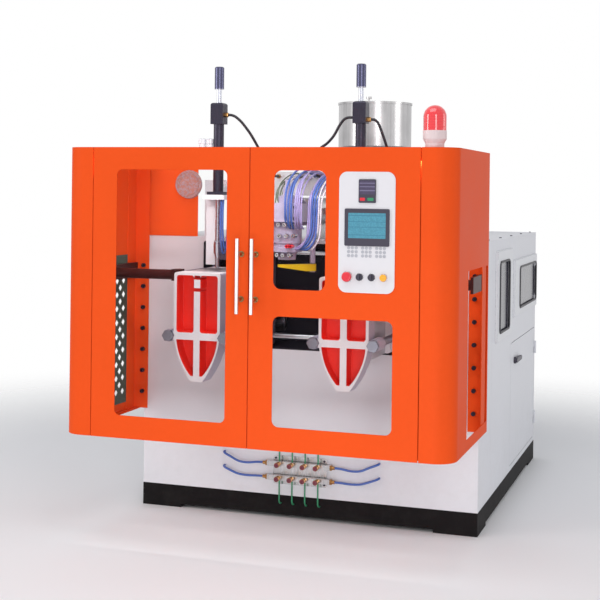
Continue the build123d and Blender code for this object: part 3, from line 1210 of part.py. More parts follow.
with BuildPart() as cutter:
    pivot = Vector(CUTTER_X, PARTING + CUTTER_BACK)
    tip = Vector(CUTTER_TIP[0], PARTING + CUTTER_TIP[1])
    across = (tip - pivot).normalized().rotate(Axis.Z, 90)
    bar((pivot.X, pivot.Y, CUTTER_LOW), CUTTER_HUB, CUTTER_HEIGHT)
    with BuildSketch(Plane.XY.offset(CUTTER_LOW)) as arm_face:
        with BuildLine():
            Polyline(pivot + across * CUTTER_HUB, tip + across * 6, tip - across * 6,
                     pivot - across * CUTTER_HUB, close=True)
        make_face()
    extrude(arm_face.sketch, amount=CUTTER_HEIGHT)
    with BuildSketch(facing(pivot.Y)) as under:
        with BuildLine():
            Polyline((tip.X - CUTTER_HUB, CUTTER_LOW), (pivot.X - CUTTER_HUB, CUTTER_LOW),
                     (tip.X - CUTTER_HUB, CUTTER_LOW + CUTTER_HEIGHT - CUTTER_EDGE), close=True)
        make_face()
    extrude(under.sketch, amount=pivot.Y - tip.Y + CUTTER_HUB, mode=Mode.SUBTRACT)
    bar((pivot.X, pivot.Y, CUTTER_LOW), CUTTER_PIN + RUNNING, CUTTER_HEIGHT, mode=Mode.SUBTRACT)
keep(cutter, "cutter")

BAND_START = BARREL_FRONT + 60.0
BAND_STEP = 40.0
BAND_PITCH = (BARREL_BACK - BARREL_FRONT - 345.0) / BAND_COUNT
SADDLE = 40.0
SADDLE_HALF = 75.0


def band_start(i):
    """Where a heater band starts. The first two stand apart from the rest, with a saddle between."""
    return BAND_START + i * BAND_PITCH + (BAND_STEP if i > 1 else 0)


with BuildPart() as extruder_barrel:
    bar((0, BARREL_FRONT, EXTRUDER_Z), BARREL_RADIUS, BARREL_BACK - BARREL_FRONT, "y")
    bar((0, BARREL_FRONT, EXTRUDER_Z), BARREL_RADIUS + 22, 36, "y")
    for start in (band_start(2) - SADDLE - 6, BARREL_BACK - 165):
        block((-SADDLE_HALF, SADDLE_HALF), (start, start + SADDLE), (BODY_TOP, EXTRUDER_Z))
    bar((0, BARREL_FRONT + 20, EXTRUDER_Z), BORE_RADIUS, BARREL_BACK - BARREL_FRONT, "y",
        mode=Mode.SUBTRACT)
keep(extruder_barrel, "extruder_barrel")

TERMINAL_REACH = 44.0
TERMINAL_INSET = 30.0
TERMINAL_HALF = 20.0

with BuildPart() as heater_bands:
    for i in range(BAND_COUNT):
        bar((0, band_start(i), EXTRUDER_Z), BARREL_RADIUS + BAND_THICK, BAND_WIDTH, "y")
        block((BARREL_RADIUS, BARREL_RADIUS + TERMINAL_REACH),
              (band_start(i) + TERMINAL_INSET, band_start(i) + BAND_WIDTH - TERMINAL_INSET),
              (EXTRUDER_Z - TERMINAL_HALF, EXTRUDER_Z + TERMINAL_HALF))
    bar((0, BAND_START, EXTRUDER_Z), BARREL_RADIUS, BARREL_BACK - BAND_START, "y", mode=Mode.SUBTRACT)
keep(heater_bands, "heater_bands")

GEARBOX_HALF = 170.0
GEARBOX_FRONT = HOPPER_Y + THROAT
GEARBOX_BACK = GEARBOX_FRONT + 255.0
GEARBOX_TOP = HOPPER_LOW + 60.0
DRIVE_Z = EXTRUDER_Z + 50.0
DRIVE_RADIUS = 130.0
DRIVE_FINS = 7
SHAFT_RADIUS = 25.0
SHAFT_DEPTH = 120.0
FEED_RADIUS = 28.0

with BuildPart() as gear_motor:
    block((-THROAT, THROAT), (BARREL_BACK, GEARBOX_FRONT), (BODY_TOP, HOPPER_LOW))
    block((-GEARBOX_HALF, GEARBOX_HALF), (GEARBOX_FRONT, GEARBOX_BACK), (BODY_TOP, GEARBOX_TOP))
    fillet(gear_motor.edges().filter_by(Axis.Y).sort_by(Axis.Z)[-2:], 30)
    drive_length = BODY_BACK - 20 - GEARBOX_BACK
    bar((0, GEARBOX_BACK, DRIVE_Z), DRIVE_RADIUS, drive_length, "y")
    for i in range(DRIVE_FINS):
        bar((0, GEARBOX_BACK + (i + 1) * drive_length / (DRIVE_FINS + 1), DRIVE_Z),
            DRIVE_RADIUS + FIN_PROUD, FIN_THICK, "y")
    bar((0, BARREL_BACK, EXTRUDER_Z), BORE_RADIUS, 2 * THROAT, "y", mode=Mode.SUBTRACT)
    bar((0, HOPPER_Y, EXTRUDER_Z), FEED_RADIUS, HOPPER_LOW - EXTRUDER_Z, mode=Mode.SUBTRACT)
    bar((0, GEARBOX_FRONT, EXTRUDER_Z), SHAFT_RADIUS + RUNNING, SHAFT_DEPTH + 10, "y",
        mode=Mode.SUBTRACT)
keep(gear_motor, "gear_motor")

SCREW_ROOT = 21.0

with BuildPart() as screw:
    bar((0, BARREL_FRONT + 80, EXTRUDER_Z), SCREW_ROOT, BARREL_BACK - BARREL_FRONT - 100, "y")
    bar((0, BARREL_BACK - 20, EXTRUDER_Z), SHAFT_RADIUS, 2 * THROAT + 20 + SHAFT_DEPTH, "y")
keep(screw, "screw")

LID_HINGE = HOPPER_RADIUS + 14
LID_PIN = 4.0
LID_BARREL = 6.5
LID_RIM = 10.0
RIM_GAP = 2.0
RIM_CUT = 105.0
EAR = 12.0
EAR_GAP = 22.0
EAR_DEPTH = 24.0
HINGE_DROP = 2.0
FLANGE_RADIUS = 85.0
FLANGE_HEIGHT = 10.0

with BuildPart() as hopper:
    inner_top = HOPPER_RADIUS - SHEET
    neck_top = HOPPER_LOW + 60
    turned(0, HOPPER_Y,
           [(HOPPER_NECK, HOPPER_LOW), (FLANGE_RADIUS, HOPPER_LOW),
            (FLANGE_RADIUS, HOPPER_LOW + FLANGE_HEIGHT), (HOPPER_NECK + SHEET, HOPPER_LOW + FLANGE_HEIGHT),
            (HOPPER_NECK + SHEET, neck_top), (HOPPER_RADIUS, HOPPER_KNEE), (HOPPER_RADIUS, HOPPER_TOP),
            (inner_top, HOPPER_TOP), (inner_top, HOPPER_KNEE + 1), (HOPPER_NECK, neck_top + 1)])
    for x in (-EAR_GAP - EAR, EAR_GAP):
        block((x, x + EAR), (HOPPER_Y + inner_top + 1, HOPPER_Y + LID_HINGE + 6),
              (HOPPER_TOP - HINGE_DROP - EAR_DEPTH, HOPPER_TOP - HINGE_DROP))
        bar((x, HOPPER_Y + LID_HINGE, HOPPER_TOP - HINGE_DROP), 6, EAR, "x")
    bar((-EAR_GAP - EAR, HOPPER_Y + LID_HINGE, HOPPER_TOP - HINGE_DROP), LID_PIN,
        2 * (EAR_GAP + EAR), "x")
keep(hopper, "hopper")

with BuildPart() as hopper_lid:
    rim_inner = HOPPER_RADIUS + RIM_GAP
    rim_outer = rim_inner + SHEET
    turned(0, HOPPER_Y, [(0, HOPPER_TOP), (rim_outer, HOPPER_TOP), (rim_outer, HOPPER_TOP + SHEET),
                         (0, HOPPER_TOP + SHEET)])
    turned(0, HOPPER_Y, [(rim_inner, HOPPER_TOP - LID_RIM), (rim_outer, HOPPER_TOP - LID_RIM),
                         (rim_outer, HOPPER_TOP), (rim_inner, HOPPER_TOP)])
    block((-RIM_CUT, RIM_CUT), (HOPPER_Y + HOPPER_RADIUS / 2, HOPPER_Y + rim_outer + 1),
          (HOPPER_TOP - LID_RIM, HOPPER_TOP), mode=Mode.SUBTRACT)
    hinge = (0.5 - EAR_GAP, HOPPER_Y + LID_HINGE, HOPPER_TOP - HINGE_DROP)
    block((hinge[0], -hinge[0]), (HOPPER_Y + HOPPER_RADIUS - 16, HOPPER_Y + LID_HINGE),
          (HOPPER_TOP, HOPPER_TOP + SHEET))
    bar(hinge, LID_BARREL, -2 * hinge[0], "x")
    bar(hinge, LID_PIN + RUNNING, -2 * hinge[0], "x", mode=Mode.SUBTRACT)
    bar((0, HOPPER_Y - 150, HOPPER_TOP + SHEET), 6, 18)
    bar((0, HOPPER_Y - 150, HOPPER_TOP + SHEET + 18), 17, 14)
keep(hopper_lid, "hopper_lid")
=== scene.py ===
# %% [markdown]
# A two-station blow moulding machine, dressed for its picture.
#
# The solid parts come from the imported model. They already have the right size and place, so this
# lesson gives them their finishes and adds what is too small for the model: screws, gaskets, keys,
# wires and fittings. Every length is in metres. X runs to the operator's right, Y away from the
# operator and Z up.

# %% Load the machine
import bpy
import bmesh
import math
from mathutils import Euler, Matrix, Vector


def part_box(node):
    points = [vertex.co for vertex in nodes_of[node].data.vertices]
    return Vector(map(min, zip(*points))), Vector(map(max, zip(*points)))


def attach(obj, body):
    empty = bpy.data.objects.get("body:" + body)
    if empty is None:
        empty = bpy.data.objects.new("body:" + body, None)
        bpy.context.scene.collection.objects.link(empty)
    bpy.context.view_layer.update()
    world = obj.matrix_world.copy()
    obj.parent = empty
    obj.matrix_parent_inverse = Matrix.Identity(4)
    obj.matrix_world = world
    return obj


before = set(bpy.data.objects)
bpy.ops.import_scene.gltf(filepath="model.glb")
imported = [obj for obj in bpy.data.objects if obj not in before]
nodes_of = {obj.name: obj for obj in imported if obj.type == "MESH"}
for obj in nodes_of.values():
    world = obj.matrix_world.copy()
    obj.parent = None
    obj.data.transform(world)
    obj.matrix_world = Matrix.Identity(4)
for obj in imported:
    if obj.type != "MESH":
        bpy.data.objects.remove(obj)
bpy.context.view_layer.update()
scene = bpy.context.scene

# %% [markdown]
# Most places below are read from the machine itself, so the pieces stay with the parts that carry
# them. A box gives the lowest and highest corner of a part, and the names here are shorthand for
# the few places that are used again and again.

# %% Places read from the parts
body_low, body_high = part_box("roof_panel")
mould_low, mould_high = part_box("right_front_mould")
HOOD_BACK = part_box("front_panel")[0].y
STATION = (mould_low.x + mould_high.x) / 2
PARTING = mould_high.y
print("hood back", HOOD_BACK, "station", STATION, "parting", PARTING)

# %% [markdown]
# The picture was taken a little to the right of the machine, from the height of its hood. The
# camera is level and its lens is shifted down, which keeps the upright edges parallel. That is how
# product pictures of tall machines are made, and tilting the camera would make them lean.

# %% Camera
LENS = 74.16
SENSOR = 36.0
CAMERA_PLACE = (2.071, -6.7955, 1.750)
CAMERA_TURN = 18.65
CAMERA_ROLL = 0.69
LENS_SHIFT = -0.182

camera_data = bpy.data.cameras.new("camera")
camera_data.lens = LENS
camera_data.sensor_width = SENSOR
camera_data.shift_y = LENS_SHIFT
camera = bpy.data.objects.new("camera", camera_data)
scene.collection.objects.link(camera)
camera.location = CAMERA_PLACE
level = Euler((math.radians(90), 0, math.radians(CAMERA_TURN)), "XYZ").to_matrix()
roll = Euler((0, 0, math.radians(CAMERA_ROLL)), "XYZ").to_matrix()
camera.rotation_euler = (level @ roll).to_euler()
scene.camera = camera
scene.view_settings.view_transform = "Standard"
print("camera at", CAMERA_PLACE, "lens", LENS)


# %% [markdown]
# The world, the finishes and the repeated pieces are all made of nodes, and wiring nodes one by
# one is long. With these helpers an input takes a plain value or another node's output, whichever
# is given.

# %% Wiring helpers
def wire(tree, source, target):
    """Feed an input: an output is linked to it, and a plain value is set on it."""
    if isinstance(source, bpy.types.NodeSocket):
        tree.links.new(source, target)
    else:
        target.default_value = source


def fill(tree, node, values):
    """Feed a node's inputs, found by name or number."""
    for name, value in values.items():
        wire(tree, value, node.inputs[name])


def new_node(tree, kind, values=None, **settings):
    """A node with its settings and its fed inputs."""
    node = tree.nodes.new(kind)
    for name, value in settings.items():
        setattr(node, name, value)
    fill(tree, node, values or {})
    return node


def maths(tree, operation, first, second=0.0):
    """What a Math node makes of two numbers or sockets."""
    return new_node(tree, "ShaderNodeMath", {0: first, 1: second}, operation=operation).outputs[0]


# %% [markdown]
# A studio for machines has large soft lamps and a white paper floor. The world is the soft part of
# the light: it lights at a moderate strength, but the camera, mirrors and glass see it as white.
# The Light Path node tells the two apart, so the white backdrop adds no light to the machine.

# %% World
FILL_LIGHT = 0.47
FILL_TINT = (0.93, 0.95, 1.0, 1)
WHITE = (1, 1, 1, 1)

world = bpy.data.worlds.new("studio")
world.use_nodes = True
scene.world = world
sky = world.node_tree
background = sky.nodes["Background"]
fill(sky, background, {"Color": FILL_TINT, "Strength": FILL_LIGHT})
backdrop = new_node(sky, "ShaderNodeBackground", {"Color": WHITE})
ray_kind = sky.nodes.new("ShaderNodeLightPath").outputs
camera_or_glass = maths(sky, "MAXIMUM", ray_kind["Is Camera Ray"], ray_kind["Is Transmission Ray"])
seen_directly = maths(sky, "MAXIMUM", camera_or_glass, ray_kind["Is Glossy Ray"])
sky_mix = new_node(sky, "ShaderNodeMixShader",
                   {"Fac": seen_directly, 1: background.outputs[0], 2: backdrop.outputs[0]})
wire(sky, sky_mix.outputs[0], sky.nodes["World Output"].inputs["Surface"])
print("world nodes", len(sky.nodes))


# %% [markdown]
# Two tall soft boxes stand left and right of the camera. On a rounded corner a tall lamp makes one
# clean upright stripe, which is how the eye reads a painted fold. Two more lamps light the long
# side and the open top, a low one reaches under the hood, and a small strip under the hood's top
# edge lights the clamps, as the work light of such a machine does.

# %% Lamps
def soft_box(name, place, aim, width, height, power, tint):
    """A rectangular lamp at a place, turned towards what it lights."""
    data = bpy.data.lights.new(name, "AREA")
    data.shape = "RECTANGLE"
    data.size = width
    data.size_y = height
    data.energy = power
    data.color = tint
    lamp = bpy.data.objects.new(name, data)
    scene.collection.objects.link(lamp)
    lamp.location = place
    lamp.rotation_euler = (Vector(aim) - Vector(place)).to_track_quat("-Z", "Y").to_euler()
    print(name, power, "W")
    return lamp


MIDDLE = (0.0, -0.9, 1.1)
SIDE_MIDDLE = (0.9, 0.0, 1.2)
TOP_MIDDLE = (0.0, -0.8, 1.4)
BASE_MIDDLE = (0.3, -0.55, 0.3)
BAY_MIDDLE = (0.0, -0.75, 1.2)
soft_box("left_box", (-5.6, -4.6, 2.6), MIDDLE, 1.6, 3.6, 124, (1.0, 0.985, 0.96))
soft_box("right_box", (3.4, -7.2, 2.8), MIDDLE, 1.5, 3.4, 90, (1.0, 0.99, 0.98))
soft_box("side_box", (6.4, 0.9, 2.4), SIDE_MIDDLE, 1.4, 3.2, 50, (1.0, 0.99, 0.97))
soft_box("top_box", (0.0, -2.6, 5.0), TOP_MIDDLE, 3.0, 2.2, 54, (0.97, 0.98, 1.0))
soft_box("low_box", (1.0, -4.6, 0.35), BASE_MIDDLE, 2.2, 0.5, 31, (0.98, 0.98, 1.0))
bay_box = soft_box("bay_box", (0.0, -1.34, 1.90), BAY_MIDDLE, 1.7, 0.08, 6.3, (1.0, 0.98, 0.97))
bay_box.visible_camera = False
bay_box.visible_glossy = False

# %% [markdown]
# The floor is a sheet of white paper. It keeps the machine's shadow near the feet and fades into
# the white world further out, so that no horizon line crosses the picture. The fade is a distance
# from the middle, worked out from Object coordinates.

# %% Floor
FLOOR_RADIUS = 9.0
FADE_START = 2.2
FADE_END = 5.5
PAPER_WHITE = (0.93, 0.93, 0.94, 1)


def blank_finish(name):
    """A new material, its tree and its shader."""
    material = bpy.data.materials.new(name)
    material.use_nodes = True
    return material, material.node_tree, material.node_tree.nodes["Principled BSDF"]


def object_place(tree):
    """The place on the piece, in metres."""
    return tree.nodes.new("ShaderNodeTexCoord").outputs["Object"]


def spread(tree, value, low, high, to_low=0.0, to_high=1.0):
    """A value stretched from one range to another, and held there."""
    ranges = {"Value": value, "From Min": low, "From Max": high, "To Min": to_low, "To Max": to_high}
    return new_node(tree, "ShaderNodeMapRange", ranges).outputs["Result"]


def built_object(name, builder, finish):
    """An object made from a bmesh, with its finish."""
    mesh = bpy.data.meshes.new(name)
    builder.to_mesh(mesh)
    builder.free()
    mesh.materials.append(finish)
    piece = bpy.data.objects.new(name, mesh)
    scene.collection.objects.link(piece)
    print(name, "faces", len(mesh.polygons))
    return piece


paper, paper_tree, paper_shader = blank_finish("paper_floor")
paper_distance = new_node(paper_tree, "ShaderNodeVectorMath", {0: object_place(paper_tree)},
                          operation="LENGTH")
paper_fade = spread(paper_tree, paper_distance.outputs["Value"], FADE_START, FADE_END, 1.0, 0.0)
paper_fade.node.interpolation_type = "SMOOTHSTEP"
fill(paper_tree, paper_shader, {"Base Color": PAPER_WHITE, "Roughness": 0.75, "Alpha": paper_fade})

floor_builder = bmesh.new()
bmesh.ops.create_circle(floor_builder, cap_ends=True, segments=64, radius=FLOOR_RADIUS)
built_object("floor", floor_builder, paper)


# %% [markdown]
# Each finish is a set of nodes around one Principled shader. Its patterns are noises on Object
# coordinates, mixed and multiplied, and these helpers name the steps. Object coordinates are in
# metres, so a pattern keeps its size on a small part and on a large one.

# %% Pattern helpers
def product(tree, *factors):
    """Numbers or sockets multiplied from left to right."""
    result = factors[0]
    for factor in factors[1:]:
        result = maths(tree, "MULTIPLY", result, factor)
    return result


def noise(tree, vector, scale, detail=2.0, roughness=0.5):
    """A noise value around one half, at a scale in cells per metre."""
    values = {"Vector": vector, "Scale": scale, "Detail": detail, "Roughness": roughness}
    return new_node(tree, "ShaderNodeTexNoise", values).outputs["Fac"]


def object_axes(tree):
    """The place on the piece as three sockets: X, Y and Z."""
    return new_node(tree, "ShaderNodeSeparateXYZ", {0: object_place(tree)}).outputs


def blend_colour(tree, share, first, second):
    """Two colours mixed by a share. Each colour is a tuple or a socket."""
    node = new_node(tree, "ShaderNodeMix", data_type="RGBA")
    for name, value in (("Factor", share), ("A", first), ("B", second)):
        socket = [s for s in node.inputs if s.name == name and s.enabled][0]
        wire(tree, (*value, 1.0) if isinstance(value, tuple) else value, socket)
    return [s for s in node.outputs if s.enabled][0]


def scaled_colour(tree, colour, gain):
    """A colour made darker or lighter by a gain."""
    values = {0: colour, "Scale": gain}
    return new_node(tree, "ShaderNodeVectorMath", values, operation="SCALE").outputs[0]


# %% [markdown]
# Three effects come back in many finishes, so each is a group that is built once: a sprayed skin,
# brushed lines and worn edges.
#
# Powder coat is never quite even. Seen close it has a fine orange-peel surface, and from a few
# steps away its colour drifts a little over a sheet. The group puts out the colour, a roughness
# that follows the drift, and a height for the Bump node.

# %% Group: sprayed skin
NUMBER = "NodeSocketFloat"
COLOUR = "NodeSocketColor"
VECTOR = "NodeSocketVector"
DUST_COLOUR = (0.42, 0.38, 0.34)
DUST_TOP = 0.55


def new_tree(name, kind, inputs, outputs):
    """An empty tree with named inputs and outputs, and the sockets at its two ends."""
    tree = bpy.data.node_groups.new(name, kind)
    for label, socket_type, value in inputs:
        socket = tree.interface.new_socket(label, in_out="INPUT", socket_type=socket_type)
        if value is not None:
            socket.default_value = value
    for label, socket_type in outputs:
        tree.interface.new_socket(label, in_out="OUTPUT", socket_type=socket_type)
    return tree, tree.nodes.new("NodeGroupInput").outputs, tree.nodes.new("NodeGroupOutput").inputs


skin_tree, skin_in, skin_out = new_tree(
    "sprayed_skin", "ShaderNodeTree",
    [("Colour", COLOUR, (0.8, 0.8, 0.8, 1)), ("Drift", NUMBER, 0.1), ("Peel Scale", NUMBER, 260.0),
     ("Roughness", NUMBER, 0.4), ("Dust", NUMBER, 0.1)],
    [("Colour", COLOUR), ("Roughness", NUMBER), ("Height", NUMBER)])
skin_place = object_place(skin_tree)
skin_wide = noise(skin_tree, skin_place, 1.7, 3.0)
skin_fine = noise(skin_tree, skin_place, 38.0, 4.0, 0.6)
skin_both = maths(skin_tree, "ADD", product(skin_tree, skin_wide, 0.7),
                  product(skin_tree, skin_fine, 0.3))
skin_low = maths(skin_tree, "SUBTRACT", 1.0, skin_in["Drift"])
skin_high = maths(skin_tree, "ADD", 1.0, skin_in["Drift"])
skin_gain = spread(skin_tree, skin_both, 0.32, 0.68, skin_low, skin_high)
skin_scaled = scaled_colour(skin_tree, skin_in["Colour"], skin_gain)
skin_settled = spread(skin_tree, object_axes(skin_tree)["Z"], 0.0, DUST_TOP, 1.0, 0.15)
skin_specks = spread(skin_tree, noise(skin_tree, skin_place, 11.0, 6.0, 0.65), 0.45, 0.75)
skin_dusty = product(skin_tree, skin_settled, skin_specks, skin_in["Dust"])
wire(skin_tree, blend_colour(skin_tree, skin_dusty, skin_scaled, DUST_COLOUR), skin_out["Colour"])
skin_rough = maths(skin_tree, "ADD", skin_in["Roughness"],
                   spread(skin_tree, skin_both, 0.3, 0.7, -0.05, 0.07))
wire(skin_tree, maths(skin_tree, "ADD", skin_rough, product(skin_tree, skin_dusty, 0.4)),
     skin_out["Roughness"])
wire(skin_tree, noise(skin_tree, skin_place, skin_in["Peel Scale"], 1.0), skin_out["Height"])
print(skin_tree.name, "nodes", len(skin_tree.nodes))

# %% [markdown]
# Brushed and turned metal carries fine lines in one direction. Stretching a noise along that
# direction makes them. The stretch is a vector, so the same group serves a barrel brushed along
# its length and a hopper brushed round its rim. On the hopper the streaks are wide and deep, and
# they are partly grain and partly painted reflection bands.

# %% Group: brushed lines
brush_tree, brush_in, brush_out = new_tree(
    "brushed_lines", "ShaderNodeTree",
    [("Colour", COLOUR, (0.7, 0.7, 0.7, 1)), ("Stretch", VECTOR, (1, 1, 40)), ("Scale", NUMBER, 30.0),
     ("Depth", NUMBER, 0.15), ("Roughness", NUMBER, 0.25)],
    [("Colour", COLOUR), ("Roughness", NUMBER), ("Height", NUMBER)])
brush_place = object_place(brush_tree)
brush_stretched = new_node(brush_tree, "ShaderNodeVectorMath", {0: brush_place, 1: brush_in["Stretch"]},
                           operation="MULTIPLY")
brush_lines = noise(brush_tree, brush_stretched.outputs[0], brush_in["Scale"], 5.0, 0.7)
brush_stains = noise(brush_tree, brush_place, 7.0, 4.0, 0.6)
brush_low = maths(brush_tree, "SUBTRACT", 1.0, brush_in["Depth"])
brush_gain = product(brush_tree, spread(brush_tree, brush_lines, 0.3, 0.7, brush_low, 1.0),
                     spread(brush_tree, brush_stains, 0.35, 0.75, 1.0, 0.82))
wire(brush_tree, scaled_colour(brush_tree, brush_in["Colour"], brush_gain), brush_out["Colour"])
wire(brush_tree, maths(brush_tree, "ADD", brush_in["Roughness"],
                       spread(brush_tree, brush_lines, 0.3, 0.7, 0.12, -0.04)), brush_out["Roughness"])
wire(brush_tree, brush_lines, brush_out["Height"])
print(brush_tree.name, "nodes", len(brush_tree.nodes))

# %% [markdown]
# Corners wear first. The Bevel node gives the normal that a rounded corner would have, and where
# that differs from the true normal there is an edge. Broken up with noise, this mask shows bare
# metal or rubbed paint, and on the orange a painted highlight. The same rounded normal also
# catches a thin highlight on each fold.

# %% Group: worn edges and painted highlights
edge_tree, edge_in, edge_out = new_tree(
    "edge_wear_and_highlight", "ShaderNodeTree", [("Width", NUMBER, 0.002), ("Amount", NUMBER, 0.5)],
    [("Mask", NUMBER), ("Normal", VECTOR)])
edge_place = object_place(edge_tree)
edge_bevel = new_node(edge_tree, "ShaderNodeBevel", {"Radius": edge_in["Width"]}, samples=4).outputs[0]
edge_true = edge_tree.nodes.new("ShaderNodeNewGeometry").outputs["Normal"]
edge_dot = new_node(edge_tree, "ShaderNodeVectorMath", {0: edge_bevel, 1: edge_true},
                    operation="DOT_PRODUCT")
edge_bend = spread(edge_tree, edge_dot.outputs["Value"], 0.99, 0.82)
edge_patches = spread(edge_tree, noise(edge_tree, edge_place, 55.0, 5.0, 0.7), 0.42, 0.62)
wire(edge_tree, product(edge_tree, edge_bend, edge_patches, edge_in["Amount"]), edge_out["Mask"])
wire(edge_tree, edge_bevel, edge_out["Normal"])
print(edge_tree.name, "nodes", len(edge_tree.nodes))

# %% [markdown]
# Nearly every sheet and casting of the machine is powder coated or sprayed. One function lays the
# skin and the coloured edges on a shader, and a paint is then one call with its colour. On most
# colours the edges are worn paint, and on the orange they are a lighter orange, a painted highlight
# along the folds. The gloss of the orange is kept very low, because in a white studio a stronger one
# washes its colour out.

# %% Paints
HOOD_GLOSS = 0.012


def place_group(tree, group, **values):
    """A group placed in a material with its own values. Gives back its outputs."""
    node = new_node(tree, "ShaderNodeGroup", node_tree=group)
    fill(tree, node, {label.replace("_", " "): value for label, value in values.items()})
    return node.outputs


def bumped(tree, shader, height, strength, distance, normal=None):
    """A Bump node from a height to the shader's normal."""
    values = {"Strength": strength, "Distance": distance, "Height": height}
    bump = new_node(tree, "ShaderNodeBump", values)
    if normal is not None:
        wire(tree, normal, bump.inputs["Normal"])
    wire(tree, bump.outputs["Normal"], shader.inputs["Normal"])


def spray(tree, shader, colour, roughness=0.42, drift=0.06, peel=260.0, dust=0.1, wear=0.25,
          under=(0.3, 0.3, 0.31), width=0.0015, gloss=0.3, strength=0.06, depth=0.001):
    """A sprayed skin with coloured edges: worn paint on most colours, a painted highlight on the
    orange. Gloss is how much light the skin mirrors.
    """
    skin = place_group(tree, skin_tree, Colour=colour, Drift=drift, Peel_Scale=peel,
                       Roughness=roughness, Dust=dust)
    edges = place_group(tree, edge_tree, Width=width, Amount=wear)
    shown = blend_colour(tree, edges["Mask"], skin["Colour"], under)
    fill(tree, shader, {"Base Color": shown, "Roughness": skin["Roughness"],
                        "Specular IOR Level": gloss})
    bumped(tree, shader, skin["Height"], strength, depth, edges["Normal"])


def paint(name, colour, **skin):
    """One colour, sprayed."""
    material, tree, shader = blank_finish(name)
    spray(tree, shader, (*colour, 1), **skin)
    return material


# The orange's edge colour is a lighter, yellower orange: a painted highlight along its folds, not wear.
orange = paint("orange_powder_coat", (0.83, 0.090, 0.016), roughness=0.34, drift=0.035, wear=0.12,
               under=(0.9, 0.22, 0.06), dust=0.02, gloss=HOOD_GLOSS)
white = paint("white_powder_coat", (0.76, 0.765, 0.80), drift=0.03, wear=0.2,
              under=(0.45, 0.46, 0.5), dust=0.12, gloss=0.14)
cover_white = paint("white_cover_paint", (0.77, 0.775, 0.80), roughness=0.4, drift=0.03, wear=0.9,
                    under=(0.24, 0.25, 0.3), width=0.004, gloss=0.14)
black_paint = paint("black_plinth_paint", (0.0065, 0.005, 0.0055), roughness=0.62, drift=0.3, wear=0.2,
                    under=(0.05, 0.02, 0.02), dust=0.02, gloss=0.12)
liner = paint("dark_bay_paint", (0.032, 0.028, 0.042), roughness=0.6, drift=0.25, dust=0.2, gloss=0.15)
machine_grey = paint("hammered_grey", (0.30, 0.30, 0.37), roughness=0.45, drift=0.12, peel=120.0)
cast_grey = paint("cast_grey", (0.13, 0.12, 0.17), roughness=0.62, drift=0.2, peel=90.0, wear=0.5)
yellow = paint("safety_yellow", (0.85, 0.62, 0.02), roughness=0.35, drift=0.05, wear=0.3)
pale_panel = paint("panel_film", (0.73, 0.715, 0.74), roughness=0.32, drift=0.015, wear=0.0, dust=0.0)
mesh_green = paint("mesh_paint", (0.060, 0.095, 0.075), roughness=0.5, drift=0.3, wear=0.6,
                   under=(0.3, 0.38, 0.3), gloss=0.2)
head_lilac = paint("head_lacquer", (0.44, 0.41, 0.56), roughness=0.4, drift=0.2, peel=90.0, wear=0.6,
                   under=(0.75, 0.74, 0.8))
cylinder_paint = paint("oxide_paint", (0.045, 0.011, 0.010), roughness=0.38, drift=0.3, wear=0.4,
                       under=(0.22, 0.12, 0.12), gloss=0.15)
print("materials so far", len(bpy.data.materials))

# %% [markdown]
# Rods, bars, moulds and the hopper are bare metal. The brushed lines go into the colour, the
# roughness and the height, and their direction tells how each part was worked. The hopper's wide
# streaks are partly that grain and partly painted reflection bands. A blow pin is dark
# above its shoulder and a handle is brown at its back, so these two have a second colour past a
# level on one axis, which is simpler than a material for each half.

# %% Metals
PIN_SHOULDER = 2.272
HANDLE_BAR = 0.026


def parted_colour(tree, axis, level, below, above):
    """Two colours, parted at a level along X, Y or Z."""
    return blend_colour(tree, maths(tree, "GREATER_THAN", object_axes(tree)[axis], level), below, above)


def metal(name, colour, roughness=0.25, stretch=(1, 1, 40), scale=30.0, depth=0.2, metallic=1.0,
          parted=None):
    """Bare metal with fine lines in one direction. Parted is an axis, a level and a second colour."""
    material, tree, shader = blank_finish(name)
    shown = (*colour, 1)
    if parted:
        axis, level, above = parted
        shown = parted_colour(tree, axis, level, colour, above)
    lines = place_group(tree, brush_tree, Colour=shown, Stretch=stretch, Scale=scale, Depth=depth,
                        Roughness=roughness)
    edges = place_group(tree, edge_tree, Width=0.001, Amount=0.0)
    fill(tree, shader, {"Base Color": lines["Colour"], "Roughness": lines["Roughness"],
                        "Metallic": metallic})
    bumped(tree, shader, lines["Height"], 0.08, 0.0005, edges["Normal"])
    return material


steel = metal("ground_steel", (0.72, 0.73, 0.76), roughness=0.18, stretch=(30, 30, 1), depth=0.12)
stainless = metal("brushed_stainless", (0.70, 0.69, 0.70), roughness=0.24, stretch=(18, 18, 0.4),
                  scale=9.0, depth=0.3)
# The hopper's wide, deep upright streaks are partly rolled grain and partly painted reflection bands.
hopper_grain_and_reflections = metal("rolled_stainless_with_painted_reflections", (0.60, 0.59, 0.60), roughness=0.27, stretch=(14, 14, 0.3),
                     scale=2.2, depth=0.45)
alloy = metal("milled_alloy", (0.66, 0.66, 0.69), roughness=0.32, stretch=(1, 30, 1), depth=0.15)
brass = metal("machined_brass", (0.66, 0.36, 0.13), roughness=0.26, stretch=(6, 6, 6), depth=0.35)
dark_steel = metal("blackened_steel", (0.045, 0.04, 0.065), roughness=0.34, stretch=(6, 6, 1),
                   depth=0.3, metallic=0.6)
bar_steel = metal("oiled_bar_steel", (0.30, 0.29, 0.34), roughness=0.30, stretch=(30, 1, 30), depth=0.4)
pin_steel = metal("ground_pin", (0.56, 0.57, 0.64), roughness=0.26, stretch=(1, 1, 14), depth=0.15,
                  parted=("Z", PIN_SHOULDER, (0.10, 0.10, 0.17)))
handle_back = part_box("left_door_handle")[0].y + HANDLE_BAR
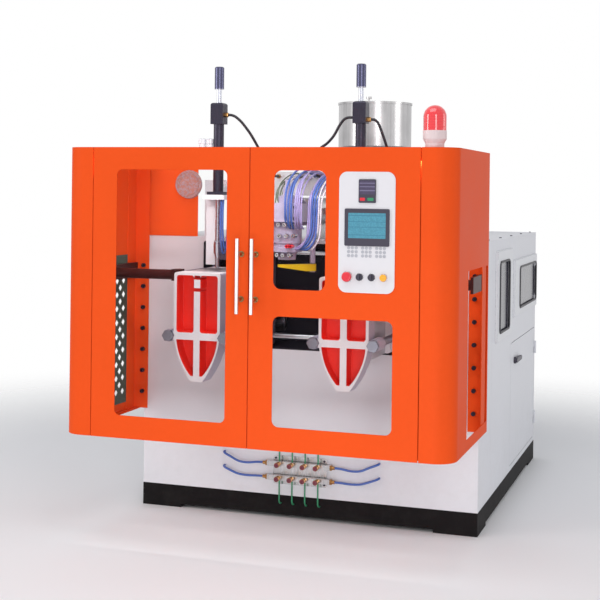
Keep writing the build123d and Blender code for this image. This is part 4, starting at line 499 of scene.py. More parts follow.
handle_steel = metal("polished_handles", (0.80, 0.78, 0.78), roughness=0.3, stretch=(18, 18, 0.4),
                     scale=9.0, depth=0.1, parted=("Y", handle_back, (0.36, 0.25, 0.12)))
print("materials so far", len(bpy.data.materials))


# %% [markdown]
# Knobs, keys, hoses and sleeves are moulded plastic or rubber. They take the same skin with a much
# finer grain and no worn edges, because plastic is one colour all through.

# %% Plastics and rubbers
def moulded(name, colour, roughness=0.5, coat=0.0):
    """Plastic or rubber with a fine moulded grain."""
    material, tree, shader = blank_finish(name)
    skin = place_group(tree, skin_tree, Colour=(*colour, 1), Drift=0.05, Peel_Scale=700.0,
                       Roughness=roughness, Dust=0.05)
    fill(tree, shader, {"Base Color": skin["Colour"], "Roughness": skin["Roughness"],
                        "Coat Weight": coat})
    bumped(tree, shader, skin["Height"], 0.1, 0.0004)
    return material


pale_plastic = moulded("pale_plastic", (0.72, 0.58, 0.58), roughness=0.45)
dark_plastic = moulded("dark_plastic", (0.035, 0.03, 0.05), roughness=0.42)
red_plastic = moulded("red_plastic", (0.72, 0.012, 0.03), roughness=0.28, coat=0.4)
amber_plastic = moulded("amber_plastic", (0.95, 0.42, 0.02), roughness=0.25, coat=0.4)
milky_plastic = moulded("milky_plastic", (0.70, 0.71, 0.76), roughness=0.3, coat=0.3)
key_grey = moulded("key_grey", (0.46, 0.46, 0.50), roughness=0.4)
maroon = moulded("maroon_plastic", (0.20, 0.035, 0.055), roughness=0.35)
blue_rubber = moulded("blue_hose", (0.07, 0.14, 0.45), roughness=0.35)
green_rubber = moulded("green_tube", (0.03, 0.26, 0.12), roughness=0.35)
black_rubber = moulded("black_rubber", (0.018, 0.017, 0.024))
lilac_sleeve = moulded("lilac_sleeve", (0.36, 0.32, 0.60), roughness=0.45)
olive_sleeve = moulded("olive_sleeve", (0.16, 0.19, 0.14))
pale_sleeve = moulded("pale_sleeve", (0.72, 0.70, 0.78), roughness=0.4)
print("materials so far", len(bpy.data.materials))


# %% [markdown]
# Clear acrylic is almost invisible from the front and mirrors the room at a flat angle. A Layer
# Weight node raises the opacity towards the edge of sight, and light passes through the rest, so
# the lamps still reach the clamps behind the doors.

# %% Panes
def pane_finish(name, colour, clear, flat, roughness):
    """A thin pane: its opacity runs from clear, seen straight on, to flat, seen along it."""
    material, tree, shader = blank_finish(name)
    facing = new_node(tree, "ShaderNodeLayerWeight", {"Blend": 0.35}).outputs["Fresnel"]
    smears = spread(tree, noise(tree, object_place(tree), 6.0, 5.0), 0.45, 0.8, 0.0, 0.015)
    opacity = maths(tree, "ADD", spread(tree, facing, 0.0, 1.0, clear, flat), smears)
    fill(tree, shader, {"Base Color": (*colour, 1), "Roughness": roughness, "Alpha": opacity})
    return material


clear_pane = pane_finish("clear_acrylic", (0.03, 0.03, 0.04), 0.0, 0.45, 0.03)
dark_pane = pane_finish("smoked_acrylic", (0.03, 0.028, 0.05), 0.92, 1.0, 0.18)
print("panes", clear_pane.name, dark_pane.name)

# %% [markdown]
# The screen shows a teal page with a header and a few plain bars, drawn by comparing the height on
# the glass with fixed levels. The controller's window is dark and faintly lit.

# %% Screens
SCREEN_BARS = ((1.640, 1.6425), (1.612, 1.614), (1.588, 1.590), (1.552, 1.554))
DISPLAY_BARS = ((1.786, 1.790), (1.770, 1.774), (1.752, 1.757))
PAGE_GAIN = 1.25


def lit_page(name, page, bar, levels, glow):
    """A glass plate whose page has bars between pairs of heights."""
    material, tree, shader = blank_finish(name)
    height = object_axes(tree)["Z"]
    bars = 0.0
    for low, high in levels:
        above_low = maths(tree, "GREATER_THAN", height, low)
        below_high = maths(tree, "LESS_THAN", height, high)
        bars = maths(tree, "MAXIMUM", bars, product(tree, above_low, below_high))
    grain = spread(tree, noise(tree, object_place(tree), 160.0, 2.0), 0.35, 0.65)
    lighter = tuple(PAGE_GAIN * part for part in page)
    shown = blend_colour(tree, bars, blend_colour(tree, grain, page, lighter), bar)
    fill(tree, shader, {"Base Color": shown, "Emission Color": shown, "Emission Strength": glow,
                        "Roughness": 0.12})
    return material


screen_glow = lit_page("screen_page", (0.050, 0.205, 0.28), (0.030, 0.14, 0.22), SCREEN_BARS, 0.25)
display_glow = lit_page("display_page", (0.055, 0.042, 0.085), (0.16, 0.14, 0.24), DISPLAY_BARS, 0.1)
print("bars on the screen", len(SCREEN_BARS), "on the display", len(DISPLAY_BARS))

# %% [markdown]
# The front platens are white castings whose pockets were painted red. One material does both. Its
# mask follows the middle of the rim: straight down the sides, then along the bowed flank to the
# tip, as a straight slope with a bulge on it. What lies inside that line and behind the front face
# is red, what lies outside it is the bare grey of the sides and ears, and the face stays white.

# %% Platen finish
platen_low, platen_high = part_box("right_front_platen")
RED = (0.92, 0.034, 0.018)
PLATEN_WHITE = (0.82, 0.80, 0.82)
BARE_GREY = (0.42, 0.41, 0.50)
RUBBED_GREY = (0.62, 0.6, 0.64)
FACE_DEPTH = platen_low.y + 0.003
POCKET_END = platen_low.y + 0.086
RIM_MIDDLE = 0.118
EAR_START = RIM_MIDDLE + 0.0085
TIP_MIDDLE = 0.032
TIP_RISE = 0.014
FLANK_HEIGHT = 0.203
FLANK_BULGE = 0.017
RIM = 0.0135
RED_TOP = platen_high.z - RIM
RED_FOOT = platen_low.z + 2 * RIM - 0.002


def platen_finish(name, middle):
    """White casting paint with red pockets and bare sides, centred on one station."""
    material, tree, shader = blank_finish(name)
    place = object_axes(tree)
    across = maths(tree, "ABSOLUTE", maths(tree, "SUBTRACT", place["X"], middle))
    flank_low = platen_low.z + TIP_RISE
    rise = spread(tree, place["Z"], flank_low, flank_low + FLANK_HEIGHT)
    slope = maths(tree, "ADD", TIP_MIDDLE, product(tree, rise, RIM_MIDDLE - TIP_MIDDLE))
    bulge = product(tree, rise, maths(tree, "SUBTRACT", 1.0, rise), 4 * FLANK_BULGE)
    inside = maths(tree, "LESS_THAN", across, maths(tree, "ADD", slope, bulge))
    behind = maths(tree, "GREATER_THAN", place["Y"], FACE_DEPTH)
    red_here = product(tree, inside, behind, maths(tree, "LESS_THAN", place["Y"], POCKET_END),
                       maths(tree, "LESS_THAN", place["Z"], RED_TOP),
                       maths(tree, "GREATER_THAN", place["Z"], RED_FOOT))
    bare = product(tree, behind, maths(tree, "SUBTRACT", 1.0, inside))
    ears = maths(tree, "GREATER_THAN", across, EAR_START)
    face = blend_colour(tree, maths(tree, "MAXIMUM", bare, ears), PLATEN_WHITE, BARE_GREY)
    spray(tree, shader, blend_colour(tree, red_here, face, RED), drift=0.08, peel=140.0, wear=0.35,
          under=RUBBED_GREY, width=0.003, strength=0.15, depth=0.002)
    return material


left_platen_paint = platen_finish("left_platen_paint", -STATION)
right_platen_paint = platen_finish("right_platen_paint", STATION)
print("pockets are red from", FACE_DEPTH, "to", POCKET_END)

# %% [markdown]
# The hood's back sheet is orange too, but the round grille that is screwed to it was left as cast.
# The grille's mask is a disc round its middle, with speckles for the holes. The sheet's orange is
# lighter than the hood's: painted light, which makes up for the shade inside the hood.

# %% Back sheet finish
GRILLE_MIDDLE = (-0.677, 1.778)
GRILLE_RADIUS = 0.0785
# Lighter than the hood's orange: painted light for the shade inside the hood.
BACK_ORANGE_PAINTED_LIGHT = (0.92, 0.115, 0.022)
GRILLE_GREY = (0.50, 0.37, 0.39)
GRILLE_RUST = (0.55, 0.26, 0.22)

back_orange, back_tree, back_shader = blank_finish("orange_back_sheet")
back_place = object_axes(back_tree)
grille_x = maths(back_tree, "SUBTRACT", back_place["X"], GRILLE_MIDDLE[0])
grille_z = maths(back_tree, "SUBTRACT", back_place["Z"], GRILLE_MIDDLE[1])
grille_far = maths(back_tree, "ADD", product(back_tree, grille_x, grille_x),
                   product(back_tree, grille_z, grille_z))
in_grille = maths(back_tree, "LESS_THAN", grille_far, GRILLE_RADIUS ** 2)
speckle = spread(back_tree, noise(back_tree, object_place(back_tree), 70.0, 3.0), 0.4, 0.6)
grille_colour = blend_colour(back_tree, speckle, GRILLE_GREY, GRILLE_RUST)
back_colour = blend_colour(back_tree, in_grille, BACK_ORANGE_PAINTED_LIGHT, grille_colour)
spray(back_tree, back_shader, back_colour, roughness=0.36, drift=0.05, dust=0.05, wear=0.0, width=0.002,
      gloss=HOOD_GLOSS)
print("grille at", GRILLE_MIDDLE, "radius", GRILLE_RADIUS)

# %% [markdown]
# The beacon's lens is red all through. A weak emission under a glossy coat is a painted glow that
# stands in for the studio light entering it, without a glass shader, which would show the floor
# upside down. Lighter and darker red bands are painted light and shade where the lens's ribs catch
# light.

# %% Beacon lens
red_lens, lens_tree, lens_shader = blank_finish("red_lens")
# Red bands: painted light and shade of the lens's ribs.
lens_rib_shading = new_node(lens_tree, "ShaderNodeTexWave",
                     {"Vector": object_place(lens_tree), "Scale": 45.0, "Distortion": 0.0},
                     wave_type="BANDS", bands_direction="Z")
lens_red_with_rib_shading = blend_colour(lens_tree, lens_rib_shading.outputs["Fac"], (0.66, 0.008, 0.02), (0.82, 0.03, 0.04))
# The emission is a painted glow for the studio light entering the lens.
fill(lens_tree, lens_shader, {"Base Color": lens_red_with_rib_shading, "Roughness": 0.12, "Coat Weight": 0.8,
                              "Emission Color": (0.8, 0.02, 0.03, 1), "Emission Strength": 0.12})
print("materials in all", len(bpy.data.materials))


# %% [markdown]
# Each part now gets its finish by name. The parts that share a finish stand together in one call.

# %% Dress the parts
def dress(finish, *names):
    """Give these parts one finish."""
    for name in names:
        slots = nodes_of[name].data.materials
        slots.clear()
        slots.append(finish)
    print(finish.name, "on", len(names))


dress(orange, "hood_left_side", "hood_right_side", "left_door", "right_door")
dress(back_orange, "hood_back_panel")
dress(white, "front_panel", "roof_panel", "rear_panel", "side_panels", "lower_door", "blow_frame",
      "left_rear_platen", "right_rear_platen")
dress(cover_white, "side_window_covers")
dress(black_paint, "plinth")
dress(liner, "bay_liner")
dress(mesh_green, "vent_mesh")
dress(machine_grey, "power_unit", "gear_motor")
dress(head_lilac, "die_head")
dress(cast_grey, "left_carriage", "right_carriage")
dress(left_platen_paint, "left_front_platen")
dress(right_platen_paint, "right_front_platen")
dress(yellow, "cutter")
dress(pale_panel, "control_panel")
dress(steel, "guide_rods", "screw")
dress(bar_steel, "left_tie_bars", "right_tie_bars")
dress(handle_steel, "left_door_handle", "right_door_handle")
dress(stainless, "water_manifold", "extruder_barrel", "heater_bands")
dress(hopper_grain_and_reflections, "hopper", "hopper_lid")
dress(alloy, "left_front_mould", "left_rear_mould", "right_front_mould", "right_rear_mould")
dress(brass, "manifold_valves")
dress(dark_steel, "blow_cylinders")
dress(pin_steel, "left_blow_pin", "right_blow_pin")
dress(cylinder_paint, "shift_cylinders")
dress(pale_plastic, "beacon_base")
dress(red_lens, "beacon_lens")
dress(dark_plastic, "door_lock", "panel_instruments", "left_selector", "right_selector")
dress(red_plastic, "emergency_stop")
dress(amber_plastic, "start_button")
dress(blue_rubber, "cooling_hoses")
dress(green_rubber, "valve_tubes")
dress(black_rubber, "air_hoses")
dress(clear_pane, "left_door_window", "right_door_windows")
dress(dark_pane, "side_window_panes")


# %% [markdown]
# What repeats is grown by Geometry Nodes. A tree takes a few start points or lines, sets a small
# shape on each, and ends in one plain mesh. The start mesh says where the pieces sit, and the named
# inputs say how large they are, so one tree of a dozen nodes makes every screw on the machine.

# %% Growing a piece from a tree
def geometry_tree(name, inputs):
    """An empty geometry tree: a start mesh and a material go in, and a mesh comes out."""
    start = ("Geometry", "NodeSocketGeometry", None)
    finish = ("Material", "NodeSocketMaterial", None)
    return new_tree(name, "GeometryNodeTree", [start, *inputs, finish],
                    [("Geometry", "NodeSocketGeometry")])


def end_tree(tree, geometry, tree_in, tree_out):
    """The last two nodes: instances made real, then the finish."""
    real = new_node(tree, "GeometryNodeRealizeInstances", {0: geometry})
    finish = new_node(tree, "GeometryNodeSetMaterial",
                      {"Geometry": real.outputs[0], "Material": tree_in["Material"]})
    wire(tree, finish.outputs[0], tree_out[0])
    print(tree.name, "nodes", len(tree.nodes))


def set_on_points(tree, shape, tree_in):
    """One shape on each start point, turned to face the way the input says."""
    turn = new_node(tree, "FunctionNodeEulerToRotation", {0: tree_in["Facing"]})
    values = {"Points": tree_in["Geometry"], "Instance": shape, "Rotation": turn.outputs[0]}
    return new_node(tree, "GeometryNodeInstanceOnPoints", values).outputs[0]


def start_mesh(points=(), runs=()):
    """A mesh of loose points, or of one line through each run of points."""
    places = list(points)
    lines = []
    for run in runs:
        first = len(places)
        places += run
        lines += [(i, i + 1) for i in range(first, first + len(run) - 1)]
    mesh = bpy.data.meshes.new("start")
    mesh.from_pydata(places, lines, [])
    return mesh


def grow(name, start, tree, body, slot, **values):
    """Run a tree on a start mesh, keep the plain result, and tie it to its body. The slot is not used.
    """
    piece = bpy.data.objects.new(name, start)
    scene.collection.objects.link(piece)
    modifier = piece.modifiers.new("tree", "NODES")
    modifier.node_group = tree
    for item in tree.interface.items_tree:
        if item.in_out == "INPUT" and item.name in values:
            modifier[item.identifier] = values[item.name]
    evaluated = piece.evaluated_get(bpy.context.evaluated_depsgraph_get())
    grown = bpy.data.meshes.new_from_object(evaluated)
    piece.modifiers.remove(modifier)
    piece.data = grown
    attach(piece, body)
    print(name, "faces", len(grown.polygons))


# %% [markdown]
# A cap screw is a short cylinder with a broken top edge and a recess for the key. Extruding the top
# face with no height and scaling the new face gives the inset, and a second extrusion goes down.

# %% Tree: cap screws
FRONTWARD = (math.radians(90), 0.0, 0.0)
BACKWARD = (math.radians(-90), 0.0, 0.0)
RIGHTWARD = (0.0, math.radians(90), 0.0)
UPWARD = (0.0, 0.0, 0.0)


def raised(tree, mesh, top, rise, share):
    """Extrude the top face by a rise and scale it by a share."""
    step = new_node(tree, "GeometryNodeExtrudeMesh",
                    {"Mesh": mesh, "Selection": top, "Offset Scale": rise}, mode="FACES")
    values = {"Geometry": step.outputs["Mesh"], "Selection": step.outputs["Top"], "Scale": share}
    smaller = new_node(tree, "GeometryNodeScaleElements", values, domain="FACE")
    return smaller.outputs[0], step.outputs["Top"]


screw_tree, screw_in, screw_out = geometry_tree(
    "cap_screws", [("Radius", NUMBER, 0.006), ("Height", NUMBER, 0.006), ("Sides", "NodeSocketInt", 12),
                   ("Recess", NUMBER, 0.55), ("Facing", VECTOR, (0, 0, 0))])
shank = new_node(screw_tree, "GeometryNodeMeshCylinder",
                 {"Vertices": screw_in["Sides"], "Radius": screw_in["Radius"],
                  "Depth": screw_in["Height"]})
broken_edge, edge_top = raised(screw_tree, shank.outputs["Mesh"], shank.outputs["Top"],
                               product(screw_tree, screw_in["Height"], 0.2), 0.86)
flat_ring, ring_top = raised(screw_tree, broken_edge, edge_top, 0.0, screw_in["Recess"])
head = raised(screw_tree, flat_ring, ring_top, product(screw_tree, screw_in["Height"], -0.6), 0.95)[0]
end_tree(screw_tree, set_on_points(screw_tree, head, screw_in), screw_in, screw_out)


def set_screws(name, points, facing, size, finish, slot, body="machine", **more):
    """One cap screw on each point. The size is a radius and a height."""
    radius, height = size
    grow(name, start_mesh(points), screw_tree, body, slot, Facing=facing, Radius=radius, Height=height,
         Material=finish, **more)


# %% [markdown]
# Gaskets, bezels and button collars are all one thing: a bead that follows a rectangle with round
# corners. With the corner radius at half the side, the rectangle is a circle.

# %% Tree: beads round an opening
bead_tree, bead_in, bead_out = geometry_tree(
    "beads", [("Width", NUMBER, 0.3), ("Height", NUMBER, 0.3), ("Corner", NUMBER, 0.02),
              ("Thickness", NUMBER, 0.006), ("Facing", VECTOR, (0, 0, 0))])
bead_line = new_node(bead_tree, "GeometryNodeCurvePrimitiveQuadrilateral",
                     {"Width": bead_in["Width"], "Height": bead_in["Height"]})
bead_corners = new_node(bead_tree, "GeometryNodeFilletCurve",
                        {"Curve": bead_line.outputs[0], "Radius": bead_in["Corner"], "Count": 7,
                         "Limit Radius": True}, mode="POLY")
bead_section = new_node(bead_tree, "GeometryNodeCurvePrimitiveCircle",
                        {"Resolution": 8, "Radius": bead_in["Thickness"]})
bead = new_node(bead_tree, "GeometryNodeCurveToMesh",
                {"Curve": bead_corners.outputs[0], "Profile Curve": bead_section.outputs[0]})
end_tree(bead_tree, set_on_points(bead_tree, bead.outputs[0], bead_in), bead_in, bead_out)

# %% [markdown]
# Leads and conduits are lines of a few points. The tree bends them into smooth curves and gives
# each a round section with closed ends.

# %% Tree: leads
lead_tree, lead_in, lead_out = geometry_tree(
    "leads", [("Radius", NUMBER, 0.004), ("Step", NUMBER, 0.012)])
lead_line = new_node(lead_tree, "GeometryNodeMeshToCurve", {0: lead_in["Geometry"]})
lead_smooth = new_node(lead_tree, "GeometryNodeCurveSplineType", {"Curve": lead_line.outputs[0]},
                       spline_type="CATMULL_ROM")
lead_steps = new_node(lead_tree, "GeometryNodeResampleCurve",
                      {"Curve": lead_smooth.outputs[0], "Length": lead_in["Step"]}, mode="LENGTH")
lead_section = new_node(lead_tree, "GeometryNodeCurvePrimitiveCircle",
                        {"Resolution": 10, "Radius": lead_in["Radius"]})
lead = new_node(lead_tree, "GeometryNodeCurveToMesh",
                {"Curve": lead_steps.outputs[0], "Profile Curve": lead_section.outputs[0],
                 "Fill Caps": True})
end_tree(lead_tree, lead.outputs[0], lead_in, lead_out)


def lay_leads(name, runs, radius, finish, slot):
    """One round lead along each run of points."""
    grow(name, start_mesh(runs=runs), lead_tree, "machine", slot, Radius=radius, Material=finish)


# %% [markdown]
# Panels are held by rows of cap screws. The rows below are loops over the edges that carry them,
# half a head deep in the sheet, so no screw hangs in front of its panel.

# %% Screws of the body
rear_low, rear_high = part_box("rear_panel")
SCREW_INSET = 0.035
SCREWS_IN_ROW = 6
SHEET_SCREW = (0.007, 0.006)


def row(start, end, count):
    """Evenly spaced points from one end to the other."""
    first, last = Vector(start), Vector(end)
    return [tuple(first.lerp(last, i / (count - 1))) for i in range(count)]


rear_points = []
for z in (rear_low.z + SCREW_INSET, rear_high.z - SCREW_INSET):
    rear_points += row((rear_low.x + SCREW_INSET, rear_high.y, z),
                       (rear_high.x - SCREW_INSET, rear_high.y, z), SCREWS_IN_ROW)
set_screws("rear_panel_screws", rear_points, BACKWARD, SHEET_SCREW, dark_steel, "dark_steel")

roof_points = []
for x in (body_low.x + SCREW_INSET, body_high.x - SCREW_INSET):
    roof_points += row((x, body_low.y + SCREW_INSET, body_high.z),
                       (x, body_high.y - SCREW_INSET, body_high.z), SCREWS_IN_ROW)
set_screws("roof_panel_screws", roof_points, UPWARD, SHEET_SCREW, dark_steel, "dark_steel")

# %% [markdown]
# Cooling water is shared out by a small manifold at the machine's foot. Four screws hold its plate,
# and each brass valve has a round knob. A knob has the shape of a cap screw, only wider and with
# more sides, so the same tree makes both.

# %% Screws and knobs of the water manifold
manifold_low, manifold_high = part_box("water_manifold")
MANIFOLD_MIDDLE = (manifold_low.x + manifold_high.x) / 2
VALVE_PLACES = (-0.108, -0.036, 0.036, 0.108)
RAIL_HEIGHTS = (0.221, 0.295)
PLATE_INSET = 0.014
PLATE_SCREW_X = 0.150 - PLATE_INSET
PLATE_FACE = HOOD_BACK - 0.008
PLATE_SCREW = (0.006, 0.008)
VALVE_KNOB = (0.0125, 0.010)
valve_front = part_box("manifold_valves")[0].y
plate_points = [(MANIFOLD_MIDDLE + x, PLATE_FACE, z) for x in (-PLATE_SCREW_X, PLATE_SCREW_X)
                for z in (manifold_low.z + PLATE_INSET, manifold_high.z - PLATE_INSET)]
set_screws("manifold_plate_screws", plate_points, FRONTWARD, PLATE_SCREW, dark_steel, "dark_steel")
knob_points = [(MANIFOLD_MIDDLE + x, valve_front, z) for x in VALVE_PLACES for z in RAIL_HEIGHTS]
set_screws("valve_knobs", knob_points, FRONTWARD, VALVE_KNOB, maroon, "dark_plastic", Sides=16,
           Recess=0.4)

# %% [markdown]
# A black rubber gasket runs round each window in the body's side. It is what makes the dark panes
# stand out from the white covers. Each row below is a window's name, its near and far end along
# the body, and its lower and upper edge.

# %% Gaskets of the side windows
GASKET = 0.007
GASKET_CORNER = 0.03
SIDE_WINDOWS = (("first", -0.0185, 0.3125, 0.980, 1.370), ("second", 0.7045, 1.3955, 1.060, 1.305))
cover_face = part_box("side_window_covers")[1].x
for label, near, far, low, high in SIDE_WINDOWS:
    grow(label + "_window_gasket", start_mesh([(cover_face, (near + far) / 2, (low + high) / 2)]),
         bead_tree, "machine", "black_hose", Facing=RIGHTWARD, Width=high - low, Height=far - near,
         Corner=GASKET_CORNER, Thickness=GASKET, Material=black_rubber)

# %% [markdown]
# The operator's panel carries a touch screen, a small controller and three groups of keys. The
# screen is a plate of glass whose finish draws plain bars, because no text belongs on it. Each
# plate is an outline of four quarter rounds, extruded by the thickness of the glass.

# %% Panel glass
GLASS_THICK = 0.0012
GLASS_CORNER = 0.003
CORNER_STEPS = 4
SCREEN_X, SCREEN_Z = (0.484, 0.660), (1.538, 1.653)
DISPLAY_X, DISPLAY_Z = (0.536, 0.608), (1.737, 1.800)
STOP_KEY_X, RUN_KEY_X, KEY_Z = (0.538, 0.562), (0.574, 0.602), (1.708, 1.722)
instrument_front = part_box("panel_instruments")[0].y


def glass_plate(name, x_range, z_range, front, finish):
    """A thin plate with round corners on the right door, its face at a given depth."""
    left, right = x_range[0] + GLASS_CORNER, x_range[1] - GLASS_CORNER
    low, high = z_range[0] + GLASS_CORNER, z_range[1] - GLASS_CORNER
    builder = bmesh.new()
    outline = []
    for x, z, start in ((right, high, 0), (left, high, 90), (left, low, 180), (right, low, 270)):
        for step in range(CORNER_STEPS):
            angle = math.radians(start + step * 90 / (CORNER_STEPS - 1))
            outline.append(builder.verts.new((x + GLASS_CORNER * math.cos(angle), front,
                                              z + GLASS_CORNER * math.sin(angle))))
    grown = bmesh.ops.extrude_face_region(builder, geom=[builder.faces.new(outline)])
    moved = [part for part in grown["geom"] if isinstance(part, bmesh.types.BMVert)]
    bmesh.ops.translate(builder, verts=moved, vec=(0, GLASS_THICK, 0))
    bmesh.ops.recalc_face_normals(builder, faces=builder.faces)
    plate = built_object(name, builder, finish)
    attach(plate, "right_door")


glass_plate("touch_screen", SCREEN_X, SCREEN_Z, instrument_front + 0.0003, screen_glow)
glass_plate("controller_display", DISPLAY_X, DISPLAY_Z, instrument_front - 0.0004, display_glow)
glass_plate("controller_stop_key", STOP_KEY_X, KEY_Z, instrument_front - 0.001, red_plastic)
glass_plate("controller_run_key", RUN_KEY_X, KEY_Z, instrument_front - 0.001, green_rubber)

# %% [markdown]
# Under the screen are three groups of nine soft keys, and below them a row of four buttons, each
# in a thin steel collar. A key is the cap screw's shape again, low and with eight sides, and a
# collar is a bead whose corners meet to make a ring.

# %% Key groups and button collars
KEY_GROUPS = (0.504, 0.570, 0.636)
KEY_PITCH = 0.0178
KEY_ROWS = 3
KEY_TOP = 1.494
KEY_SIZE = (0.0078, 0.0022)
BUTTON_HEIGHT = 1.362
COLLAR = 0.0014
BUTTONS = (("stop", 0.481, 0.048), ("left_selector", 0.539, 0.035), ("right_selector", 0.595, 0.035),
           ("start", 0.652, 0.035))
panel_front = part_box("control_panel")[0].y
key_points = [(middle + column * KEY_PITCH, panel_front, KEY_TOP - line * KEY_PITCH)
              for middle in KEY_GROUPS for column in (-1, 0, 1) for line in range(KEY_ROWS)]
set_screws("panel_keys", key_points, FRONTWARD, KEY_SIZE, key_grey, "pale_plastic", "right_door",
           Sides=8, Recess=0.7)
for label, middle, across in BUTTONS:
    grow(label + "_collar", start_mesh([(middle, panel_front, BUTTON_HEIGHT)]), bead_tree,
         "right_door", "stainless", Facing=FRONTWARD, Width=across, Height=across,
         Corner=across / 2, Thickness=COLLAR, Material=stainless)

# %% [markdown]
# Air hoses end in push-in fittings: a hexagon that is screwed into the port, with a small ring that
# lets the hose go. The cap screw's tree with six sides and a wide recess makes one.

# %% Fittings
FITTING = (0.0125, 0.016)
FITTING_SHAPE = {"Sides": 6, "Recess": 0.7}
HEAD_PORT_X = 0.042
HEAD_PORTS = ((-STATION + HEAD_PORT_X, PARTING, 2.138), (STATION + HEAD_PORT_X, PARTING, 2.109))
AIR_PORTS = (-0.173, 0.070, 0.525)
AIR_PORT_FRONT = -0.5085
AIR_PORT_HEIGHT = 1.827
box_ports = [(x, AIR_PORT_FRONT, AIR_PORT_HEIGHT) for x in AIR_PORTS]
set_screws("right_facing_fittings", HEAD_PORTS, RIGHTWARD, FITTING, brass, "brass", **FITTING_SHAPE)
set_screws("air_box_fittings", box_ports, FRONTWARD, FITTING, brass, "brass", **FITTING_SHAPE)

# %% [markdown]
# Behind the small window the die head is busy: hoses and heater leads come over its top and down
# its front. They are fixed at both ends, on the air box and on the head, and stay above the arm
# that cuts the tube. A short loop spaces the leads of each bundle.

# %% Leads over the die head
AIR_FACE = -0.5005
LEAD_WAVER = 0.012
OVER_FRONT = ((0.0, AIR_FACE, 1.826), (0.0, -0.60, 1.850), (0.0, -0.76, 1.850), (0.0, -0.90, 1.800),
              (0.0, -0.965, 1.730), (0.0, -0.975, 1.650), (-0.004, -0.955, 1.590),
              (-0.008, -0.915, 1.560))
DOWN_RIGHT = ((0.0, AIR_FACE, 1.822), (0.010, -0.62, 1.840), (0.010, -0.82, 1.800), (0.0, -0.92, 1.720),
              (-0.004, -0.93, 1.620), (-0.010, -0.93, 1.530), (-0.050, -0.915, 1.470),
              (-0.105, -0.885, 1.455))
BACK_LEFT = ((0.0, AIR_FACE, 1.818), (-0.004, -0.58, 1.830), (-0.008, -0.72, 1.815),
             (-0.010, -0.84, 1.770), (-0.010, -0.88, 1.700), (0.0, -0.88, 1.684))


def bundle(middle, spacing, count, run):
    """Leads side by side: the same run, shifted along X and a little uneven in height."""
    leads = []
    last = len(run) - 1
    for i in range(count):
        shift = (i - (count - 1) / 2) * spacing
        lift = LEAD_WAVER * math.sin(2.3 * i + middle * 40)
        leads.append([(middle + x + shift, y, z + (lift if 0 < step < last else 0))
                      for step, (x, y, z) in enumerate(run)])
    return leads


lay_leads("blue_head_hoses", bundle(0.045, 0.016, 3, OVER_FRONT) + bundle(0.172, 0.013, 3, DOWN_RIGHT),
          0.0055, blue_rubber, "blue_hose")
lay_leads("lilac_head_leads", bundle(0.098, 0.011, 4, OVER_FRONT) + bundle(0.145, 0.010, 2, DOWN_RIGHT),
          0.0042, lilac_sleeve, "pale_plastic")
lay_leads("green_head_leads", bundle(-0.030, 0.011, 4, BACK_LEFT), 0.0042, olive_sleeve, "green_tube")
lay_leads("pale_head_leads", bundle(0.004, 0.010, 3, BACK_LEFT) + bundle(0.200, 0.012, 2, DOWN_RIGHT),
          0.004, pale_sleeve, "pale_plastic")

# %% [markdown]
# The die head's round body is clamped by two rows of screws, with lip bolts below them and a red
# lead plug between. They stand on a circle, so a point is given by its angle and its height, and
# angle 0 faces the operator. Four more screws hold the front of the square box above.

# %% Screws of the die head
CLAMP_REACH, PLUG_REACH, LIP_REACH = 0.075, 0.070, 0.072
CLAMP_ROWS = ((1.578, (-12, 14, 42)), (1.522, (-8, 20, 48)))
PLUG_HEIGHT, PLUG_ANGLES = 1.470, (24, 40)
LIP_HEIGHT, LIP_ANGLES = 1.425, (-20, 6, 32)
CLAMP_SCREW = (0.0125, 0.034)
LEAD_PLUG = (0.010, 0.040)
LIP_BOLT = (0.011, 0.030)
BOX_SCREW = (0.009, 0.010)
BOX_FRONT = PARTING - 0.100


def on_die(angle, height, reach):
    """A point at an angle round the die head."""
    turn = math.radians(angle)
    return (reach * math.sin(turn), PARTING - reach * math.cos(turn), height)


clamp_points = [on_die(angle, height, CLAMP_REACH) for height, angles in CLAMP_ROWS for angle in angles]
plug_points = [on_die(angle, PLUG_HEIGHT, PLUG_REACH) for angle in PLUG_ANGLES]
lip_points = [on_die(angle, LIP_HEIGHT, LIP_REACH) for angle in LIP_ANGLES]
box_points = [(x, BOX_FRONT, z) for x in (-0.075, 0.075) for z in (1.612, 1.668)]
set_screws("die_clamp_screws", clamp_points, FRONTWARD, CLAMP_SCREW, steel, "ground_steel", Recess=0.6)
set_screws("die_lead_plug", plug_points, FRONTWARD, LEAD_PLUG, red_plastic, "red_plastic", Recess=0.6)
set_screws("die_lip_bolts", lip_points, FRONTWARD, LIP_BOLT, steel, "ground_steel", Recess=0.5)
set_screws("die_box_screws", box_points, FRONTWARD, BOX_SCREW, dark_steel, "dark_steel")

# %% [markdown]
# The blow stations have their own hoses. They leave the underside of each arm, hang in a loop
# beside the pin and go back up behind it, well above the moulds that pass below.

# %% Loops beside the blow pins
ARM_UNDERSIDE = 1.701
LOOP_SIDE = 0.041
LOOP_SPACING = 0.0115
LOOP_RADIUS = 0.0052
LOOP_RUN = ((0.0, -0.895, ARM_UNDERSIDE), (0.0, -0.903, 1.620), (0.0, -0.900, 1.520),
            (0.0, -0.882, 1.450), (0.0, -0.856, 1.432), (0.0, -0.830, 1.450), (0.0, -0.812, 1.520),
            (0.0, -0.806, 1.620), (0.0, -0.806, ARM_UNDERSIDE))
loops = []
for middle in (-STATION + LOOP_SIDE, STATION - LOOP_SIDE):
    loops += bundle(middle, LOOP_SPACING, 2, LOOP_RUN)
lay_leads("blue_pin_loops", loops, LOOP_RADIUS, blue_rubber, "blue_hose")

# %% [markdown]
# The hood's folded sides are bolted to an upright angle on each side. The bolt heads are black and
# show through the slots.

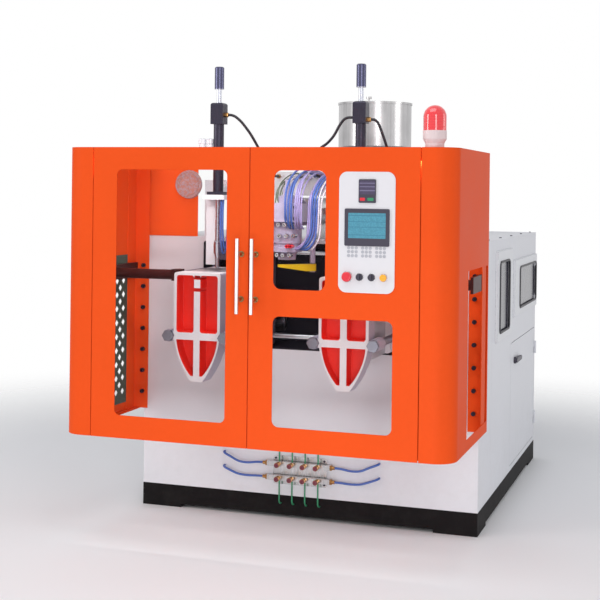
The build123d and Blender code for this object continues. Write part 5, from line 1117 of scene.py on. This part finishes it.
# %% Bolts of the upright angles
ANGLE_BOLT_X = 0.920
ANGLE_INSET = 0.058
ANGLE_HEAD = 0.007
ANGLE_BOLT_LOW, ANGLE_BOLT_HIGH = 0.637, 1.330
BOLTS_IN_ANGLE = 7
ANGLE_BOLT = (0.0115, 0.014)
bolt_front = HOOD_BACK - ANGLE_INSET - ANGLE_HEAD
angle_points = []
for x in (-ANGLE_BOLT_X, ANGLE_BOLT_X):
    angle_points += row((x, bolt_front, ANGLE_BOLT_LOW), (x, bolt_front, ANGLE_BOLT_HIGH),
                        BOLTS_IN_ANGLE)
set_screws("angle_bolts", angle_points, FRONTWARD, ANGLE_BOLT, dark_steel, "dark_steel")

# %% [markdown]
# Each heater band on the barrel is fed by a conduit that drops from its terminal box to the roof.
# The loop below starts from the first band's place in the model and spaces the conduits like the
# bands. The first two bands stand apart at the blow frame, so the conduits start at the third,
# behind the gap.

# %% Conduits of the heater bands
TERMINAL_X = 0.104
BARREL_HEIGHT = 1.640
BAND_PITCH = 0.190
BAND_GAP = 0.040
BAND_MIDDLE = 0.060
FED_BANDS = range(2, 6)
CONDUIT_RADIUS = 0.007
ROOF_MARGIN = 0.06
band_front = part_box("heater_bands")[0].y
conduits = []
for i in FED_BANDS:
    y = band_front + i * BAND_PITCH + BAND_GAP + BAND_MIDDLE
    foot_y = max(y + 0.10, body_low.y + ROOF_MARGIN)
    conduits.append([(TERMINAL_X, y, BARREL_HEIGHT), (TERMINAL_X + 0.03, y, BARREL_HEIGHT),
                     (TERMINAL_X + 0.055, y + 0.02, BARREL_HEIGHT - 0.035),
                     (TERMINAL_X + 0.07, foot_y - 0.02, body_high.z + 0.03),
                     (TERMINAL_X + 0.07, foot_y, body_high.z)])
lay_leads("heater_conduits", conduits, CONDUIT_RADIUS, dark_steel, "black_hose")

# %% [markdown]
# Two small filter bowls sit beside the left cylinder, on a bracket from its barrel. Their milky
# plastic is lathed: a profile of a few points turned about an upright axis.

# %% Air filter bowls
BOWL_PROFILE = ((0.010, 0.002), (0.016, 0.010), (0.018, 0.030), (0.018, 0.058), (0.021, 0.060),
                (0.021, 0.082), (0.014, 0.086))
BOWL_PLACES = (-0.473, -0.431)
BOWL_FOOT = 1.930
BOWL_SIDES = 20
bowl_builder = bmesh.new()
for middle in BOWL_PLACES:
    rings = []
    for radius, height in BOWL_PROFILE:
        angles = [math.tau * i / BOWL_SIDES for i in range(BOWL_SIDES)]
        rings.append([bowl_builder.verts.new((middle + radius * math.cos(angle),
                                              PARTING + radius * math.sin(angle),
                                              BOWL_FOOT + height)) for angle in angles])
    for lower, upper in zip(rings, rings[1:]):
        for i in range(BOWL_SIDES):
            after = (i + 1) % BOWL_SIDES
            bowl_builder.faces.new((lower[i], lower[after], upper[after], upper[i]))
    bowl_builder.faces.new(list(reversed(rings[0])))
    bowl_builder.faces.new(rings[-1])
bmesh.ops.recalc_face_normals(bowl_builder, faces=bowl_builder.faces)
bowls = built_object("filter_bowls", bowl_builder, milky_plastic)
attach(bowls, "machine")
